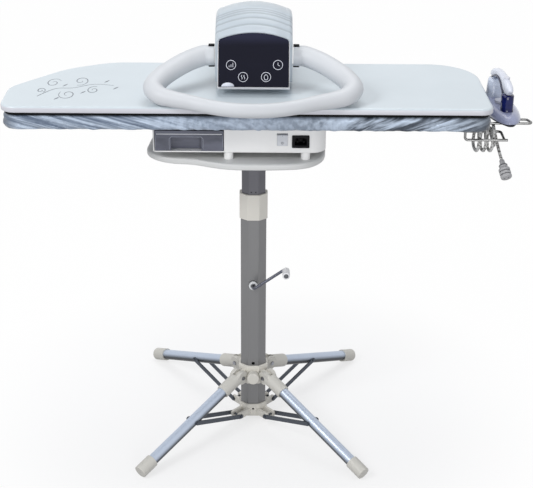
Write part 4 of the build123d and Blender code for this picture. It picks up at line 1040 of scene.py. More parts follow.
@dataclass
class Board:
    """Lower board: steel pan, crowned pad and the gathered satin cloth."""

    corners: tuple[tuple[float, float, float], ...] = (
        (0.443, -0.140, 0.022),
        (0.438, 0.137, 0.095),
        (-0.285, 0.137, 0.120),
        (-0.372, 0.092, 0.160),
        (-0.467, -0.025, 0.060),
        (-0.467, -0.140, 0.030),
    )
    spine_left: float = -0.335
    spine_right: float = 0.310
    points: int = 900
    top: float = 0.7208
    pad_low: float = 0.6992
    pad_top: float = 0.7192
    pull_left: float = 0.105
    pull_right: float = -0.073
    plan: list[Vector] = field(default_factory=list)

    def build(self) -> None:
        """Builds the pad and the cloth and dresses the pan."""
        self.plan = evenly(rounded(self.corners, 10), self.points)
        dress(BareMetal("pan_steel", paint(172, 175, 180), 0.34, (2.0, 60.0, 60.0)).make(), "board_pan")
        self._build_pad()
        self._build_cover()
        log.info("board: pan dressed, crowned pad and gathered cloth built")

    def _drawn_in(self, index: int, inset: float) -> Vector:
        """Gives a plan point drawn towards the board's spine by a distance."""
        point = self.plan[index]
        spine = Vector((min(max(point.x, self.spine_left), self.spine_right), 0.0))
        return point + (spine - point).normalized() * inset

    def _towards(self, index: int, inset: float, share: float) -> Vector:
        """Gives a point between the spine and the drawn-in plan."""
        edge = self._drawn_in(index, inset)
        spine = Vector((min(max(edge.x, self.spine_left), self.spine_right), 0.0))
        return spine.lerp(edge, share)

    def _build_pad(self) -> None:
        """Builds the pad as a crowned slab with quilted dimples."""
        rings = []
        # Share of the way out from the spine, and share of the pad's height
        profile = (
            (0.02, 1.0),
            (0.4, 1.0),
            (0.8, 0.99),
            (0.93, 0.95),
            (0.98, 0.8),
            (1.0, 0.5),
            (0.985, 0.2),
            (0.95, 0.0),
            (0.5, 0.0),
            (0.02, 0.0),
        )
        for share, height in profile:
            ring = []
            for index in range(0, self.points, 3):
                place = self._towards(index, 0.0105, share)
                lift = 0.0003 * noise.noise(Vector((place.x * 30, place.y * 30, height)))
                level = self.pad_low + 0.0004 + (self.pad_top - self.pad_low - 0.0008) * height
                ring.append((place.x, place.y, level + lift))
            rings.append(ring)
        mesh = skin("board_felt_pad", rings, Wrap.CAPPED)
        pad = as_piece("board_felt_pad", mesh, PressedFelt("pad_felt", paint(196, 190, 178)).make())
        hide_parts("board_pad")
        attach(pad, Body.MAST.value)

    def _pull(self, place: Vector, down: float) -> float:
        """Gives the cloth's pull wrinkles, from 0 to 1.

        They slant down and in towards the middle of the board, long ones on the left and steeper
        ones on the right.

        Args:
            place: The point on the board's plan.
            down: How far down the side it is, from 0 to 1.

        Returns:
            The height of the wrinkles there.
        """
        share = min(max((place.x + 0.15) / 0.45, 0.0), 1.0)
        slant = self.pull_left * (1 - share) + self.pull_right * share
        along = place.x - slant * down + 0.6 * place.y
        bend = 0.35 * noise.noise(Vector((along * 14, place.y * 5, down * 0.8)))
        height = 0.0
        for length, phase, weight in ((0.062, 0.4, 0.5), (0.037, 2.1, 0.3), (0.0215, 4.0, 0.2)):
            wave = math.sin(2 * math.pi * along / length + phase + 6 * bend)
            height += weight * (0.5 + 0.5 * wave) ** 2.2
        return height

    def _build_cover(self) -> None:
        """Builds the cloth: flat on top, over the edge, and gathered under the pan."""
        perimeter = sum((b - a).length for a, b in zip(self.plan, self.plan[1:] + self.plan[:1]))
        rings = []
        for share in (0.02, 0.15, 0.3, 0.45, 0.6, 0.7, 0.8, 0.88, 0.94, 0.97):
            ring = []
            for index in range(self.points):
                place = self._towards(index, 0.008, share)
                lift = 0.00035 * noise.noise(Vector((place.x * 16, place.y * 16, 3.0)))
                ring.append((place.x, place.y, self.top + lift - 0.0001))
            rings.append(ring)
        # Drop, inset and how deep the wrinkles are, from the edge down and under
        profile = (
            (0.0002, 0.0112, 0.00),
            (0.0010, 0.0086, 0.03),
            (0.0026, 0.0064, 0.10),
            (0.0048, 0.0052, 0.25),
            (0.0078, 0.0046, 0.55),
            (0.0115, 0.0046, 0.85),
            (0.0160, 0.0048, 1.00),
            (0.0205, 0.0052, 1.00),
            (0.0243, 0.0062, 1.00),
            (0.0268, 0.0085, 0.90),
            (0.0277, 0.0120, 0.80),
            (0.0280, 0.0170, 0.80),
            (0.0278, 0.0230, 0.90),
            (0.0272, 0.0290, 1.00),
            (0.0262, 0.0330, 1.00),
        )
        for drop, inset, depth in profile:
            ring = []
            under = max(0.0, (inset - 0.0085) / 0.0245)
            for index in range(self.points):
                along = perimeter * index / self.points
                fold = self._pull(self.plan[index], drop / 0.028)
                gather = 0.5 + 0.5 * math.sin(2 * math.pi * along / 0.0118 + 3 * math.sin(along * 23))
                out = depth * (1 - under) * (0.0056 * fold + 0.0004 * gather) - 0.0014 * depth
                place = self._drawn_in(index, inset - out)
                sag = under * (0.0018 * gather + 0.0012 * fold) * depth
                ring.append((place.x, place.y, self.top - drop - sag + 0.0006 * under))
            rings.append(ring)
        mesh = skin("board_satin_cover", rings, Wrap.OPEN)
        satin = SatinCloth("satin_cloth", paint(190, 204, 222), paint(92, 106, 127)).make()
        cover = as_piece("board_satin_cover", mesh, satin)
        worked(cover, "SOLIDIFY", thickness=0.0005, offset=-1.0)
        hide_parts("board_cover")
        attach(cover, Body.MAST.value)


@dataclass
class UpperPlate:
    """Upper plate: painted shell with its scroll design over the hot plate."""

    top: float = 0.740
    stem: tuple[tuple[float, float], ...] = (
        (-0.404, -0.080),
        (-0.376, -0.036),
        (-0.342, -0.030),
        (-0.306, -0.008),
        (-0.268, -0.014),
    )
    curls: tuple[tuple[float, float, float, float], ...] = (
        (-0.384, 0.000, 0.0150, 0.5),
        (-0.349, -0.068, 0.0170, 2.6),
        (-0.333, 0.012, 0.0160, 4.4),
        (-0.303, -0.042, 0.0130, 1.2),
        (-0.402, -0.046, 0.0090, 5.4),
    )
    buds: tuple[tuple[float, float], ...] = (
        (-0.360, -0.014),
        (-0.321, -0.056),
        (-0.283, 0.010),
        (-0.366, -0.092),
        (-0.262, -0.030),
    )

    def build(self) -> None:
        """Dresses the plate and adds the scroll design."""
        shell = TwoTonePlastic("shell_paint", paint(209, 219, 225), paint(211, 212, 219), 0.7372)
        dress(shell.make(), "press_shell")
        plate = PaintedMetal("plate_coating", paint(11, 11, 13), 0.0, 0.6, 400.0, shine=0.1)
        dress(plate.make(), "heating_plate")
        self._add_design()
        log.info("upper plate: shell and hot plate dressed, scroll design laid on")

    def _ribbon(self, middle: Sequence[tuple[float, float, float]], lift: float) -> list[list[Place]]:
        """Turns a line of places and widths into the rings of a flat ribbon."""
        line = flowing([Vector(station) for station in middle], 10)
        rings = []
        for index, station in enumerate(line):
            ahead = line[min(index + 1, len(line) - 1)]
            behind = line[max(index - 1, 0)]
            way = Vector((ahead.x - behind.x, ahead.y - behind.y)).normalized()
            side = Vector((-way.y, way.x)) * max(station.z, 0.0004)
            low = self.top - 0.0002
            high = self.top + lift
            rings.append(
                [
                    (station.x - side.x, station.y - side.y, low),
                    (station.x - side.x * 0.8, station.y - side.y * 0.8, high),
                    (station.x + side.x * 0.8, station.y + side.y * 0.8, high),
                    (station.x + side.x, station.y + side.y, low),
                ]
            )
        return rings

    def _add_design(self) -> None:
        """Lays a plain stem with spiral curls and buds on the left of the shell."""
        ink = MouldedPlastic("design_ink", paint(104, 112, 122), 0.35).make()
        lines = [[(x, y, 0.0011 - 0.0001 * number) for number, (x, y) in enumerate(self.stem)]]
        for x, y, size, start in self.curls:
            lines.append(self._curl(x, y, size, start))
        for x, y in self.buds:
            lines.append([(x - 0.004, y - 0.007, 0.0003), (x, y, 0.0019), (x + 0.004, y + 0.007, 0.0003)])
        sprigs = []
        for number, line in enumerate(lines):
            mesh = skin("sprig", self._ribbon(line, 0.00016 + 0.00001 * number), Wrap.CAPPED)
            sprigs.append(as_piece("sprig", mesh, ink))
        design = join("plate_scroll", sprigs)
        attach(design, Body.PRESS.value)

    def _curl(self, x: float, y: float, size: float, start: float) -> list[tuple[float, float, float]]:
        """Gives a spiral's places and widths, stretched in depth.

        Args:
            x: The middle's place across.
            y: The middle's place in depth.
            size: The outer radius across.
            start: The angle that it begins at, in radians.

        Returns:
            The stations of its ribbon.
        """
        stations = []
        for step in range(15):
            share = step / 14
            angle = start + 8.2 * share
            radius = size * (1.0 - 0.8 * share)
            width = 0.0005 + 0.0006 * math.sin(math.pi * min(share * 1.1, 1.0))
            stations.append((x + radius * math.cos(angle), y + 1.7 * radius * math.sin(angle), width))
        return stations


@dataclass
class Head:
    """Head on the arm: housing, touch panel and the ribbed clear hood."""

    half_width: float = 0.073
    bottom: float = 0.752
    lip: float = 0.007
    wall: float = 0.0022
    shoulder_bend: float = 0.010
    groove_depth: float = 0.0016
    groove_width: float = 0.0019
    key_radius: float = 0.0088
    stroke_radius: float = 0.00048
    stations: tuple[tuple[float, float, float], ...] = (
        (-0.024, 0.836, 0.850),
        (0.030, 0.868, 0.883),
        (0.095, 0.863, 0.877),
        (0.150, 0.842, 0.857),
        (0.185, 0.802, 0.816),
        (0.198, 0.768, 0.780),
    )
    grooves: tuple[float, ...] = (-0.009, 0.004, 0.0145, 0.0205, 0.0262, 0.060, 0.090, 0.120)
    panel_origin: tuple[float, float, float] = (0.0, -0.074, 0.756)
    slope_run: float = 0.050
    slope_rise: float = 0.094
    panel_thickness: float = 0.002

    def build(self) -> None:
        """Dresses the head, replaces the hood and prints the panel's symbols."""
        white = MouldedPlastic("head_moulding", paint(238, 238, 241), 0.3, coat=0.15)
        dress(white.make(), "head_housing")
        dress(GlossPanel("panel_glass", paint(22, 23, 36)).make(), "control_panel")
        inner = MouldedPlastic("arm_paint", paint(224, 228, 234), 0.4)
        dress(inner.make(), "press_arm")
        dress(PaintedMetal("hinge_paint", paint(150, 154, 160), 0.5, 0.4).make(), "hinge_bracket")
        dress(BareMetal("spring_steel", paint(140, 142, 148), 0.3).make(), "lift_spring", "hinge_pin")
        self._build_hood()
        self._print_symbols()
        log.info("head: housing, panel and arm dressed, ribbed hood and symbols built")

    def _build_hood(self) -> None:
        """Builds the clear hood as an arched shell with rounded shoulders and ribs."""
        line = flowing([Vector(station) for station in self.stations], 36)
        front, shoulder, crown = self.stations[0]
        rings = [self._arch(front, shoulder - self.lip, crown - self.lip, self.half_width - self.lip)]
        for back, shoulder, crown in line:
            groove = sum(math.exp(-(((back - place) / self.groove_width) ** 2)) for place in self.grooves)
            sunk = self.groove_depth * groove
            rings.append(self._arch(back, shoulder - sunk, crown - sunk, self.half_width))
        end = rings[-1]
        centre = Vector((0.0, end[0][1], (self.bottom + line[-1][2]) / 2))
        for share in (0.985, 0.6, 0.1):
            bulge = Vector((0.0, 0.0006 * (1 - share), 0.0))
            rings.append([tuple(centre.lerp(Vector(point), share) + bulge) for point in end])
        mesh = skin("head_clear_hood", rings, Wrap.OPEN, closed=False)
        clear = ClearPlastic(
            "hood_moulding", paint(208, 218, 226), 0.2, 0.34, 0.965, 0.00004, self.grooves
        ).make()
        hood = as_piece("head_clear_hood", mesh, clear)
        worked(hood, "SOLIDIFY", thickness=self.wall, offset=-1.0)
        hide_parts("arm_hood")
        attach(hood, Body.PRESS.value)

    def _arch(self, back: float, shoulder: float, crown: float, half: float) -> list[Place]:
        """Gives one section of the hood, from its left foot over the top to its right foot."""
        bend = self.shoulder_bend
        points = []
        for step in range(9):
            points.append((-half, self.bottom + (shoulder - bend - self.bottom) * step / 8))
        for step in range(1, 7):
            angle = math.pi / 2 * step / 6
            x = -half + bend * (1 - math.cos(angle))
            points.append((x, shoulder - bend * (1 - math.sin(angle)) + 0.001 * step / 6))
        for step in range(1, 21):
            x = (-half + bend) * (1 - step / 20)
            arc = 1 - (x / (half - bend)) ** 2
            points.append((x, shoulder + 0.001 + (crown - shoulder - 0.001) * arc))
        mirrored = [(-x, z) for x, z in reversed(points[:-1])]
        return [(x, back, z) for x, z in points + mirrored]

    def _on_panel(self, x: float, up: float, lift: float = 0.0) -> Vector:
        """Gives a point on the panel's face from its place across and up the slope."""
        length = math.hypot(self.slope_run, self.slope_rise)
        slope = Vector((0.0, self.slope_run / length, self.slope_rise / length))
        out = Vector((0.0, -self.slope_rise / length, self.slope_run / length))
        across = Vector((x, 0.0, 0.0))
        return Vector(self.panel_origin) + across + slope * up + out * (self.panel_thickness + lift)

    def _stroke(
        self, points: Sequence[tuple[float, float]], ink: bpy.types.Material, closed: bool = False
    ) -> bpy.types.Object:
        """Draws one printed stroke on the panel."""
        line = [self._on_panel(x, up) for x, up in points]
        return strip("stroke", line, self.stroke_radius, ink, closed)

    def _print_symbols(self) -> None:
        """Prints four ringed touch symbols and the white half disc at the lower left."""
        ink = MouldedPlastic("panel_ink", paint(238, 240, 250), 0.45).make()
        strokes = []
        for x, up in ((-0.0422, 0.0432), (-0.0196, 0.0207), (0.0233, 0.0210), (0.0455, 0.0437)):
            ring = [(x + self.key_radius * a, up + self.key_radius * b) for a, b in circle(32)]
            strokes.append(self._stroke(ring, ink, True))
        # Rising bars
        for number, height in enumerate((0.003, 0.005, 0.008)):
            x = -0.0422 - 0.0035 + 0.0035 * number
            strokes.append(self._stroke([(x, 0.0392), (x, 0.0392 + height)], ink))
        # Waves of steam
        for offset in (-0.0024, 0.0024):
            wave = [(-0.0196 + offset + 0.0009 * math.sin(t * 0.9), 0.0167 + 0.0011 * t) for t in range(8)]
            strokes.append(self._stroke(wave, ink))
        # Drop
        drop = []
        for a, b in circle(16):
            pinch = 1.0 - 0.55 * max(b, 0.0) ** 2
            drop.append((0.0233 + 0.0036 * a * pinch, 0.0205 + 0.0052 * b))
        strokes.append(self._stroke(drop, ink, True))
        # Clock
        strokes.append(self._stroke([(0.0455, 0.0485), (0.0455, 0.0437), (0.0490, 0.0418)], ink))
        symbols = join("panel_symbols", strokes)
        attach(symbols, Body.PRESS.value)
        self._add_half_disc()

    def _add_half_disc(self) -> None:
        """Adds the white half disc that rises from the panel's lower edge."""
        rings = []
        for lift in (-0.0003, 0.0003):
            ring = [self._on_panel(-0.0600, 0.0024, lift)]
            for step in range(13):
                angle = math.pi * step / 12
                x = -0.0480 - 0.0120 * math.cos(angle)
                ring.append(self._on_panel(x, 0.0024 + 0.0078 * math.sin(angle), lift))
            rings.append(ring)
        finish = MouldedPlastic("lamp_white", paint(226, 230, 242), 0.3).make()
        disc = as_piece("panel_lamp", skin("panel_lamp", rings, Wrap.CAPPED), finish)
        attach(disc, Body.PRESS.value)


@dataclass
class Handle:
    """White ring handle: one smooth tube from the head's one side round to the other."""

    pivot_height: float = 0.797
    drop: float = 50.0 / 175.0
    route: tuple[tuple[float, float, float], ...] = (
        (0.075, 0.000, 0.0193),
        (0.087, -0.0005, 0.0194),
        (0.099, -0.003, 0.0195),
        (0.126, -0.0225, 0.0195),
        (0.153, -0.0515, 0.0195),
        (0.1735, -0.081, 0.0195),
        (0.184, -0.111, 0.0191),
        (0.1715, -0.1345, 0.0172),
        (0.147, -0.1465, 0.0154),
        (0.115, -0.1570, 0.0142),
        (0.078, -0.1705, 0.0136),
        (0.040, -0.1795, 0.0135),
        (0.000, -0.1825, 0.0135),
    )
    tab_start: float = 0.0747
    tab_end: float = 0.0862
    tab_low: float = 0.0188
    tab_high: float = 0.0219

    def build(self) -> None:
        """Builds the tube and the dark tabs at its two ends."""
        white = MouldedPlastic("handle_moulding", paint(209, 212, 216), 0.44).make()
        angle = math.atan(self.drop)
        half = []
        for x, y, radius in self.route:
            half.append(Vector((x, y * math.cos(angle), self.pivot_height + y * math.sin(angle), radius)))
        left = [Vector((-s[0], s[1], s[2], s[3])) for s in reversed(half[:-1])]
        rings = hose(flowing(half + left, 8), 40)
        ring = as_piece("handle_tube", skin("handle_tube", rings, Wrap.CAPPED), white)
        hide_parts("handle_ring")
        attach(ring, Body.HANDLE.value)
        self._add_tabs()
        log.info("handle: smooth tube and bush tabs built")

    def _add_tabs(self) -> None:
        """Adds near-black tabs over and under each arm, where the tube meets the head."""
        dark = MouldedPlastic("handle_tab_dark", paint(17, 17, 21), 0.55, shine=0.15).make()
        tabs = []
        for side in (-1, 1):
            for middle in (math.pi / 2, -math.pi / 2):
                tabs.append(as_piece("tab", skin("tab", self._tab_rings(side, middle), Wrap.CAPPED), dark))
        tab_group = join("handle_dark_tabs", tabs)
        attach(tab_group, Body.HANDLE.value)

    def _tab_rings(self, side: int, middle: float) -> list[list[Place]]:
        """Gives one tab's sections along the arm, bevelled at both ends.

        Args:
            side: -1 for the left arm and 1 for the right one.
            middle: The tab's place round the arm, in radians.

        Returns:
            The rings of its skin.
        """
        rings = []
        edge = 0.0007
        for x, drop in (
            (self.tab_start, edge),
            (self.tab_start + edge, 0.0),
            (self.tab_end - edge, 0.0),
            (self.tab_end, edge),
        ):
            ring = []
            for radius, way in ((self.tab_high - drop, 1), (self.tab_low, -1)):
                for step in range(7):
                    angle = middle + way * (step - 3) * 0.085
                    height = self.pivot_height + radius * math.sin(angle)
                    ring.append((side * x, radius * math.cos(angle), height))
            rings.append(ring)
        return rings


@dataclass
class WireRacks:
    """Bent wire rest for the iron and rack for its cord."""

    def build(self) -> None:
        """Dresses both racks in dull zinc."""
        zinc = BareMetal("rack_zinc", paint(132, 132, 132), 0.26, (25.0, 25.0, 25.0), 0.4)
        dress(zinc.make(), "iron_rest", "cord_rack")
        log.info("wire racks dressed")


@dataclass
class Iron:
    """Hand iron: lavender skirt, dark blue tank and white swept handle."""

    origin: tuple[float, float] = (0.477, -0.008)
    yaw: float = math.radians(5.0)
    nose: float = 0.082
    heel: float = -0.078
    half_width: float = 0.031
    skirt_low: float = 0.6918
    tank_x: float = 0.038

    def build(self) -> None:
        """Builds the rounded body, tank and handle and dresses the small parts."""
        dress(BareMetal("sole_alloy", paint(44, 45, 52), 0.36, (40.0, 2.0, 40.0)).make(), "iron_sole")
        button = MouldedPlastic("button_moulding", paint(214, 216, 226), 0.3, coat=0.3)
        dress(button.make(), "steam_button", "iron_dial")
        self._build_body()
        self._build_tank()
        self._build_handle()
        log.info("iron: body, tank, handle and trim built")

    def world(self, x: float, y: float, z: float) -> Vector:
        """Turns the iron's own place, nose along X, into the press's frame."""
        nose = Vector((math.sin(self.yaw), -math.cos(self.yaw), 0.0))
        right = Vector((math.cos(self.yaw), math.sin(self.yaw), 0.0))
        return Vector((self.origin[0], self.origin[1], z)) + nose * x + right * y

    def _plan(self, shrink: float) -> list[tuple[float, float]]:
        """Gives the iron's plan from above, drawn in by a distance."""
        width = self.half_width - shrink
        points = []
        for along, side in circle(72):
            if along >= 0:
                points.append(((self.nose - shrink * 1.4) * along, width * squared(side, 0.86)))
            else:
                x = (self.heel + shrink) * -1 * squared(along, 0.45)
                points.append((x, width * squared(side, 0.5)))
        return points

    def _build_body(self) -> None:
        """Builds the skirt with its soft shoulders, and the heel that carries the handle."""
        lavender = MouldedPlastic(
            "iron_lavender_moulding", paint(166, 172, 202), 0.2, coat=0.4, shade=0.82
        ).make()
        rings = []
        # Rise above the sole and how far the plan is drawn in
        profile = (
            (0.0000, 0.0010),
            (0.0004, 0.0002),
            (0.0030, 0.0002),
            (0.0065, 0.0018),
            (0.0105, 0.0050),
            (0.0134, 0.0092),
            (0.0148, 0.0140),
            (0.0150, 0.0200),
        )
        for rise, shrink in profile:
            rings.append([self.world(x, y, self.skirt_low + rise) for x, y in self._plan(shrink)])
        skirt = as_piece("skirt", skin("skirt", rings, Wrap.CAPPED), lavender)
        heel = self._heel()
        relief = self._relief(lavender)
        heel.name = "iron_heel"
        body = join("iron_skirt_body", [skirt, relief])
        for piece in (body, heel):
            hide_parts("iron_body")
            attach(piece, Body.IRON.value)

    def _heel(self) -> bpy.types.Object:
        """Builds the rounded upright at the back, in a pale dimpled moulding."""
        finish = MouldedPlastic(
            "iron_heel_moulding", paint(204, 214, 232), 0.22, 110.0, 0.003, 0.5, 0.85
        ).make()
        rings = []
        for z, middle, length, width in (
            (0.7035, -0.053, 0.0185, 0.0215),
            (0.7085, -0.054, 0.0160, 0.0190),
            (0.7160, -0.054, 0.0142, 0.0172),
            (0.7280, -0.054, 0.0140, 0.0166),
            (0.7380, -0.0545, 0.0136, 0.0150),
            (0.7404, -0.055, 0.0125, 0.0136),
        ):
            ring = []
            for turn in range(36):
                angle = 2 * math.pi * turn / 36
                x = middle + length * math.copysign(abs(math.cos(angle)) ** 0.7, math.cos(angle))
                y = width * math.copysign(abs(math.sin(angle)) ** 0.7, math.sin(angle))
                ring.append(self.world(x, y, z))
            rings.append(ring)
        return as_piece("heel", skin("heel", rings, Wrap.CAPPED), finish)

    def _relief(self, finish: bpy.types.Material) -> bpy.types.Object:
        """Builds the ribbed sleeve where the cord leaves the heel."""
        start = self.world(-0.064, 0.0, 0.7198)
        way = Vector((-0.0755, 0.8627, -0.5)).normalized()
        line = []
        for step in range(23):
            share = step / 22
            ripple = 0.0004 * math.cos(step * math.pi)
            place = start + way * 0.0220 * share
            line.append(Vector((*place, 0.0058 - 0.0018 * share + ripple)))
        return as_piece("relief", skin("relief", hose(line, 24), Wrap.CAPPED), finish)

    def _build_tank(self) -> None:
        """Builds the rounded blue column over the nose."""
        rings = []
        for z, grow in (
            (0.7068, 0.0005),
            (0.7076, 0.0002),
            (0.7100, 0.0000),
            (0.7200, 0.0000),
            (0.7300, 0.0000),
            (0.7366, 0.0000),
            (0.7377, -0.0004),
        ):
            ring = []
            for a, b in circle(40):
                x = self.tank_x + (0.0146 + grow) * squared(a, 0.72)
                y = (0.0112 + grow) * squared(b, 0.72)
                ring.append(self.world(x, y, z))
            rings.append(ring)
        blue = ClearPlastic("iron_tank_moulding", paint(22, 32, 98), 0.15, 0.06, 0.5).make()
        tank = as_piece("iron_blue_tank", skin("iron_blue_tank", rings, Wrap.CAPPED), blue)
        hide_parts("iron_tank")
        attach(tank, Body.IRON.value)

    def _build_handle(self) -> None:
        """Builds the swept handle from the lip at the front to the heel, and its dark trim."""
        # Place along, upper height, lower height and half width
        stations = (
            (0.0600, 0.7515, 0.7492, 0.0025),
            (0.0560, 0.7540, 0.7452, 0.0051),
            (0.0500, 0.7572, 0.7400, 0.0069),
            (0.0440, 0.7596, 0.7385, 0.0077),
            (0.0300, 0.7632, 0.7390, 0.0080),
            (0.0220, 0.7645, 0.7412, 0.0079),
            (0.0100, 0.7657, 0.7492, 0.0074),
            (-0.0060, 0.7662, 0.7540, 0.0072),
            (-0.0220, 0.7658, 0.7540, 0.0073),
            (-0.0360, 0.7645, 0.7512, 0.0077),
            (-0.0480, 0.7625, 0.7450, 0.0089),
            (-0.0580, 0.7596, 0.7405, 0.0098),
            (-0.0660, 0.7540, 0.7410, 0.0092),
            (-0.0695, 0.7490, 0.7430, 0.0066),
        )
        line = flowing([Vector(station) for station in stations], 6)
        rings = []
        for x, high, low, width in line:
            middle = (high + low) / 2
            tall = (high - low) / 2
            ring = []
            for a, b in circle(36):
                y = width * squared(a, 0.75)
                z = middle + tall * squared(b, 0.75)
                ring.append(self.world(x, y, z))
            rings.append(ring)
        white = MouldedPlastic("iron_white_moulding", paint(218, 222, 234), 0.28, coat=0.25).make()
        handle = as_piece("iron_swept_handle", skin("iron_swept_handle", rings, Wrap.CAPPED), white)
        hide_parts("iron_handle")
        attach(handle, Body.IRON.value)
        self._add_trim()

    def _add_trim(self) -> None:
        """Adds the dark blue line along the handle's two lower edges."""
        blue = MouldedPlastic("iron_trim_moulding", paint(24, 29, 62), 0.3, coat=0.2).make()
        # Place along, height and place to the side
        places = (
            (0.0300, 0.7396, 0.0079),
            (0.0170, 0.7452, 0.0076),
            (0.0090, 0.7500, 0.0073),
            (-0.0060, 0.7548, 0.0071),
            (-0.0220, 0.7550, 0.0072),
            (-0.0400, 0.7506, 0.0080),
            (-0.0520, 0.7446, 0.0090),
        )
        smooth = flowing([Vector(place) for place in places], 6)
        lines = []
        for side in (-1, 1):
            lines.append(strip("trim", [self.world(x, side * y, z) for x, z, y in smooth], 0.0020, blue))
        trim = join("iron_trim", lines)
        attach(trim, Body.IRON.value)


@dataclass
class Cord:
    """The iron's braided cord: free stretch, winding on the rack, tail and plug."""

    diameter: float = 0.006
    free: tuple[tuple[float, float, float], ...] = (
        (0.46976, 0.07474, 0.7088),
        (0.4681, 0.09372, 0.6978),
        (0.467, 0.119, 0.682),
        (0.467, 0.110, 0.656),
        (0.467, 0.085, 0.641),
        (0.4655, 0.040, 0.636),
        (0.462, -0.030, 0.636),
    )
    tail: tuple[tuple[float, float, float], ...] = (
        (0.470, -0.034, 0.634),
        (0.470, -0.058, 0.629),
        (0.474, -0.074, 0.615),
    )

    def build(self) -> None:
        """Lays both stretches of the cord and builds the plug."""
        braid = BraidedCotton("cord_cotton", paint(214, 214, 212), paint(112, 110, 106)).make()
        free = self._spline("iron_cord_run", self.free, braid)
        hank = self._spline("iron_cord_winding", self._winding() + list(self.tail), braid)
        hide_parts("cord_hank")
        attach(hank, Body.MAST.value)
        plug = self._build_plug()
        bands = self._build_contacts()
        route = self._followed(free)
        tube = as_piece("iron_cord_free", skin("iron_cord_free", hose(route, 16), Wrap.CAPPED), braid)
        bpy.data.objects.remove(free)
        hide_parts("iron_cord")
        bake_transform(tube)
        log.info("cord: free stretch, winding, tail and plug built")

    def _spline(self, name: str, points: Sequence[Place], finish: bpy.types.Material) -> bpy.types.Object:
        """Draws a smooth cord on its control points."""
        curve = bpy.data.curves.new(name, "CURVE")
        curve.dimensions = "3D"
        curve.bevel_depth = self.diameter / 2
        curve.bevel_resolution = 4
        curve.resolution_u = 12
        curve.use_fill_caps = True
        spline = curve.splines.new("NURBS")
        spline.points.add(len(points) - 1)
        for point, place in zip(spline.points, points):
            point.co = (*place, 1.0)
        spline.order_u = 3
        spline.use_endpoint_u = True
        curve.materials.append(finish)
        piece = bpy.data.objects.new(name, curve)
        bpy.context.scene.collection.objects.link(piece)
        return piece

    def _followed(self, piece: bpy.types.Object) -> list[Vector]:
        """Reads the points that a cord's spline passes through, each with the radius."""
        depth = piece.data.bevel_depth
        piece.data.bevel_depth = 0.0
        mesh = bpy.data.meshes.new_from_object(piece)
        piece.data.bevel_depth = depth
        return [Vector((*vertex.co, self.diameter / 2)) for vertex in mesh.vertices]

    def _winding(self) -> list[Place]:
        """Gives the turns round the rack's two rods, in two layers."""
        corners = []
        across = 0.462
        for layer, step in ((0, -0.00325), (1, 0.00325)):
            back = -0.031 + 0.007 * layer
            front = -0.071 - 0.007 * layer
            high = 0.670 + 0.007 * layer
            low = 0.636 - 0.007 * layer
            for _ in range(3):
                for y, z in ((back, low), (front, low), (front, high), (back, high)):
                    corners.append((across, y, z))
                    across += step
        corners[0] = (0.462, -0.0303, 0.636)
        return corners

    def _build_plug(self) -> bpy.types.Object:
        """Builds the ribbed grey plug at the end of the tail."""
        start = Vector(self.tail[-1])
        way = (start - Vector(self.tail[-2])).normalized()
        stations = []
        for along, radius in (
            (-0.001, 0.0034),
            (0.000, 0.0048),
            (0.006, 0.0052),
            (0.009, 0.0060),
            (0.010, 0.0078),
            (0.0155, 0.0082),
            (0.0165, 0.0075),
            (0.0175, 0.0098),
            (0.0190, 0.0110),
            (0.0225, 0.0110),
            (0.0235, 0.0098),
            (0.0250, 0.0098),
            (0.0260, 0.0110),
            (0.0295, 0.0110),
            (0.0305, 0.0100),
            (0.0320, 0.0100),
            (0.0330, 0.0110),
            (0.0365, 0.0108),
            (0.0380, 0.0098),
        ):
            stations.append(Vector((*(start + way * along), radius)))
        grey = MouldedPlastic("plug_moulding", paint(178, 178, 180), 0.5, 900.0, 0.00006).make()
        body = as_piece("plug", skin("plug", hose(stations, 32), Wrap.CAPPED), grey)
        body.name = "iron_cord_plug"
        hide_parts("iron_plug")
        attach(body, Body.MAST.value)
        return body

    def _build_contacts(self) -> bpy.types.Object:
        """Builds the dark grip bands of the plug, and dark discs at its contact holes as painted shade."""
        start = Vector(self.tail[-1])
        way = (start - Vector(self.tail[-2])).normalized()
        side = Vector((0.0, 1.0, 0.0)).cross(way).normalized()
        dark = MouldedPlastic("plug_dark", paint(84, 84, 88), 0.55).make()
        parts = []
        for along in (0.0116, 0.0243, 0.0313):
            wide = 0.0084 if along < 0.02 else 0.0102
            profile = ((-0.0008, wide - 0.0012), (-0.0007, wide), (0.0007, wide), (0.0008, wide - 0.0012))
            band = [Vector((*(start + way * (along + step)), radius)) for step, radius in profile]
            parts.append(as_piece("band", skin("band", hose(band, 32), Wrap.CAPPED), dark))
        # Painted shade: the contact holes are dark discs, for the shade inside them.
        for offset in (-0.004, 0.004):
            root = start + way * 0.0381 + side * offset
            profile = ((-0.0006, 0.0016), (-0.0001, 0.0016), (0.0, 0.0014))
            hole = [Vector((*(root + way * step), radius)) for step, radius in profile]
            parts.append(as_piece("hole", skin("hole", hose(hole, 16), Wrap.CAPPED), dark))
        bands = join("iron_cord_plug_bands", parts)
        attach(bands, Body.MAST.value)
        return bands


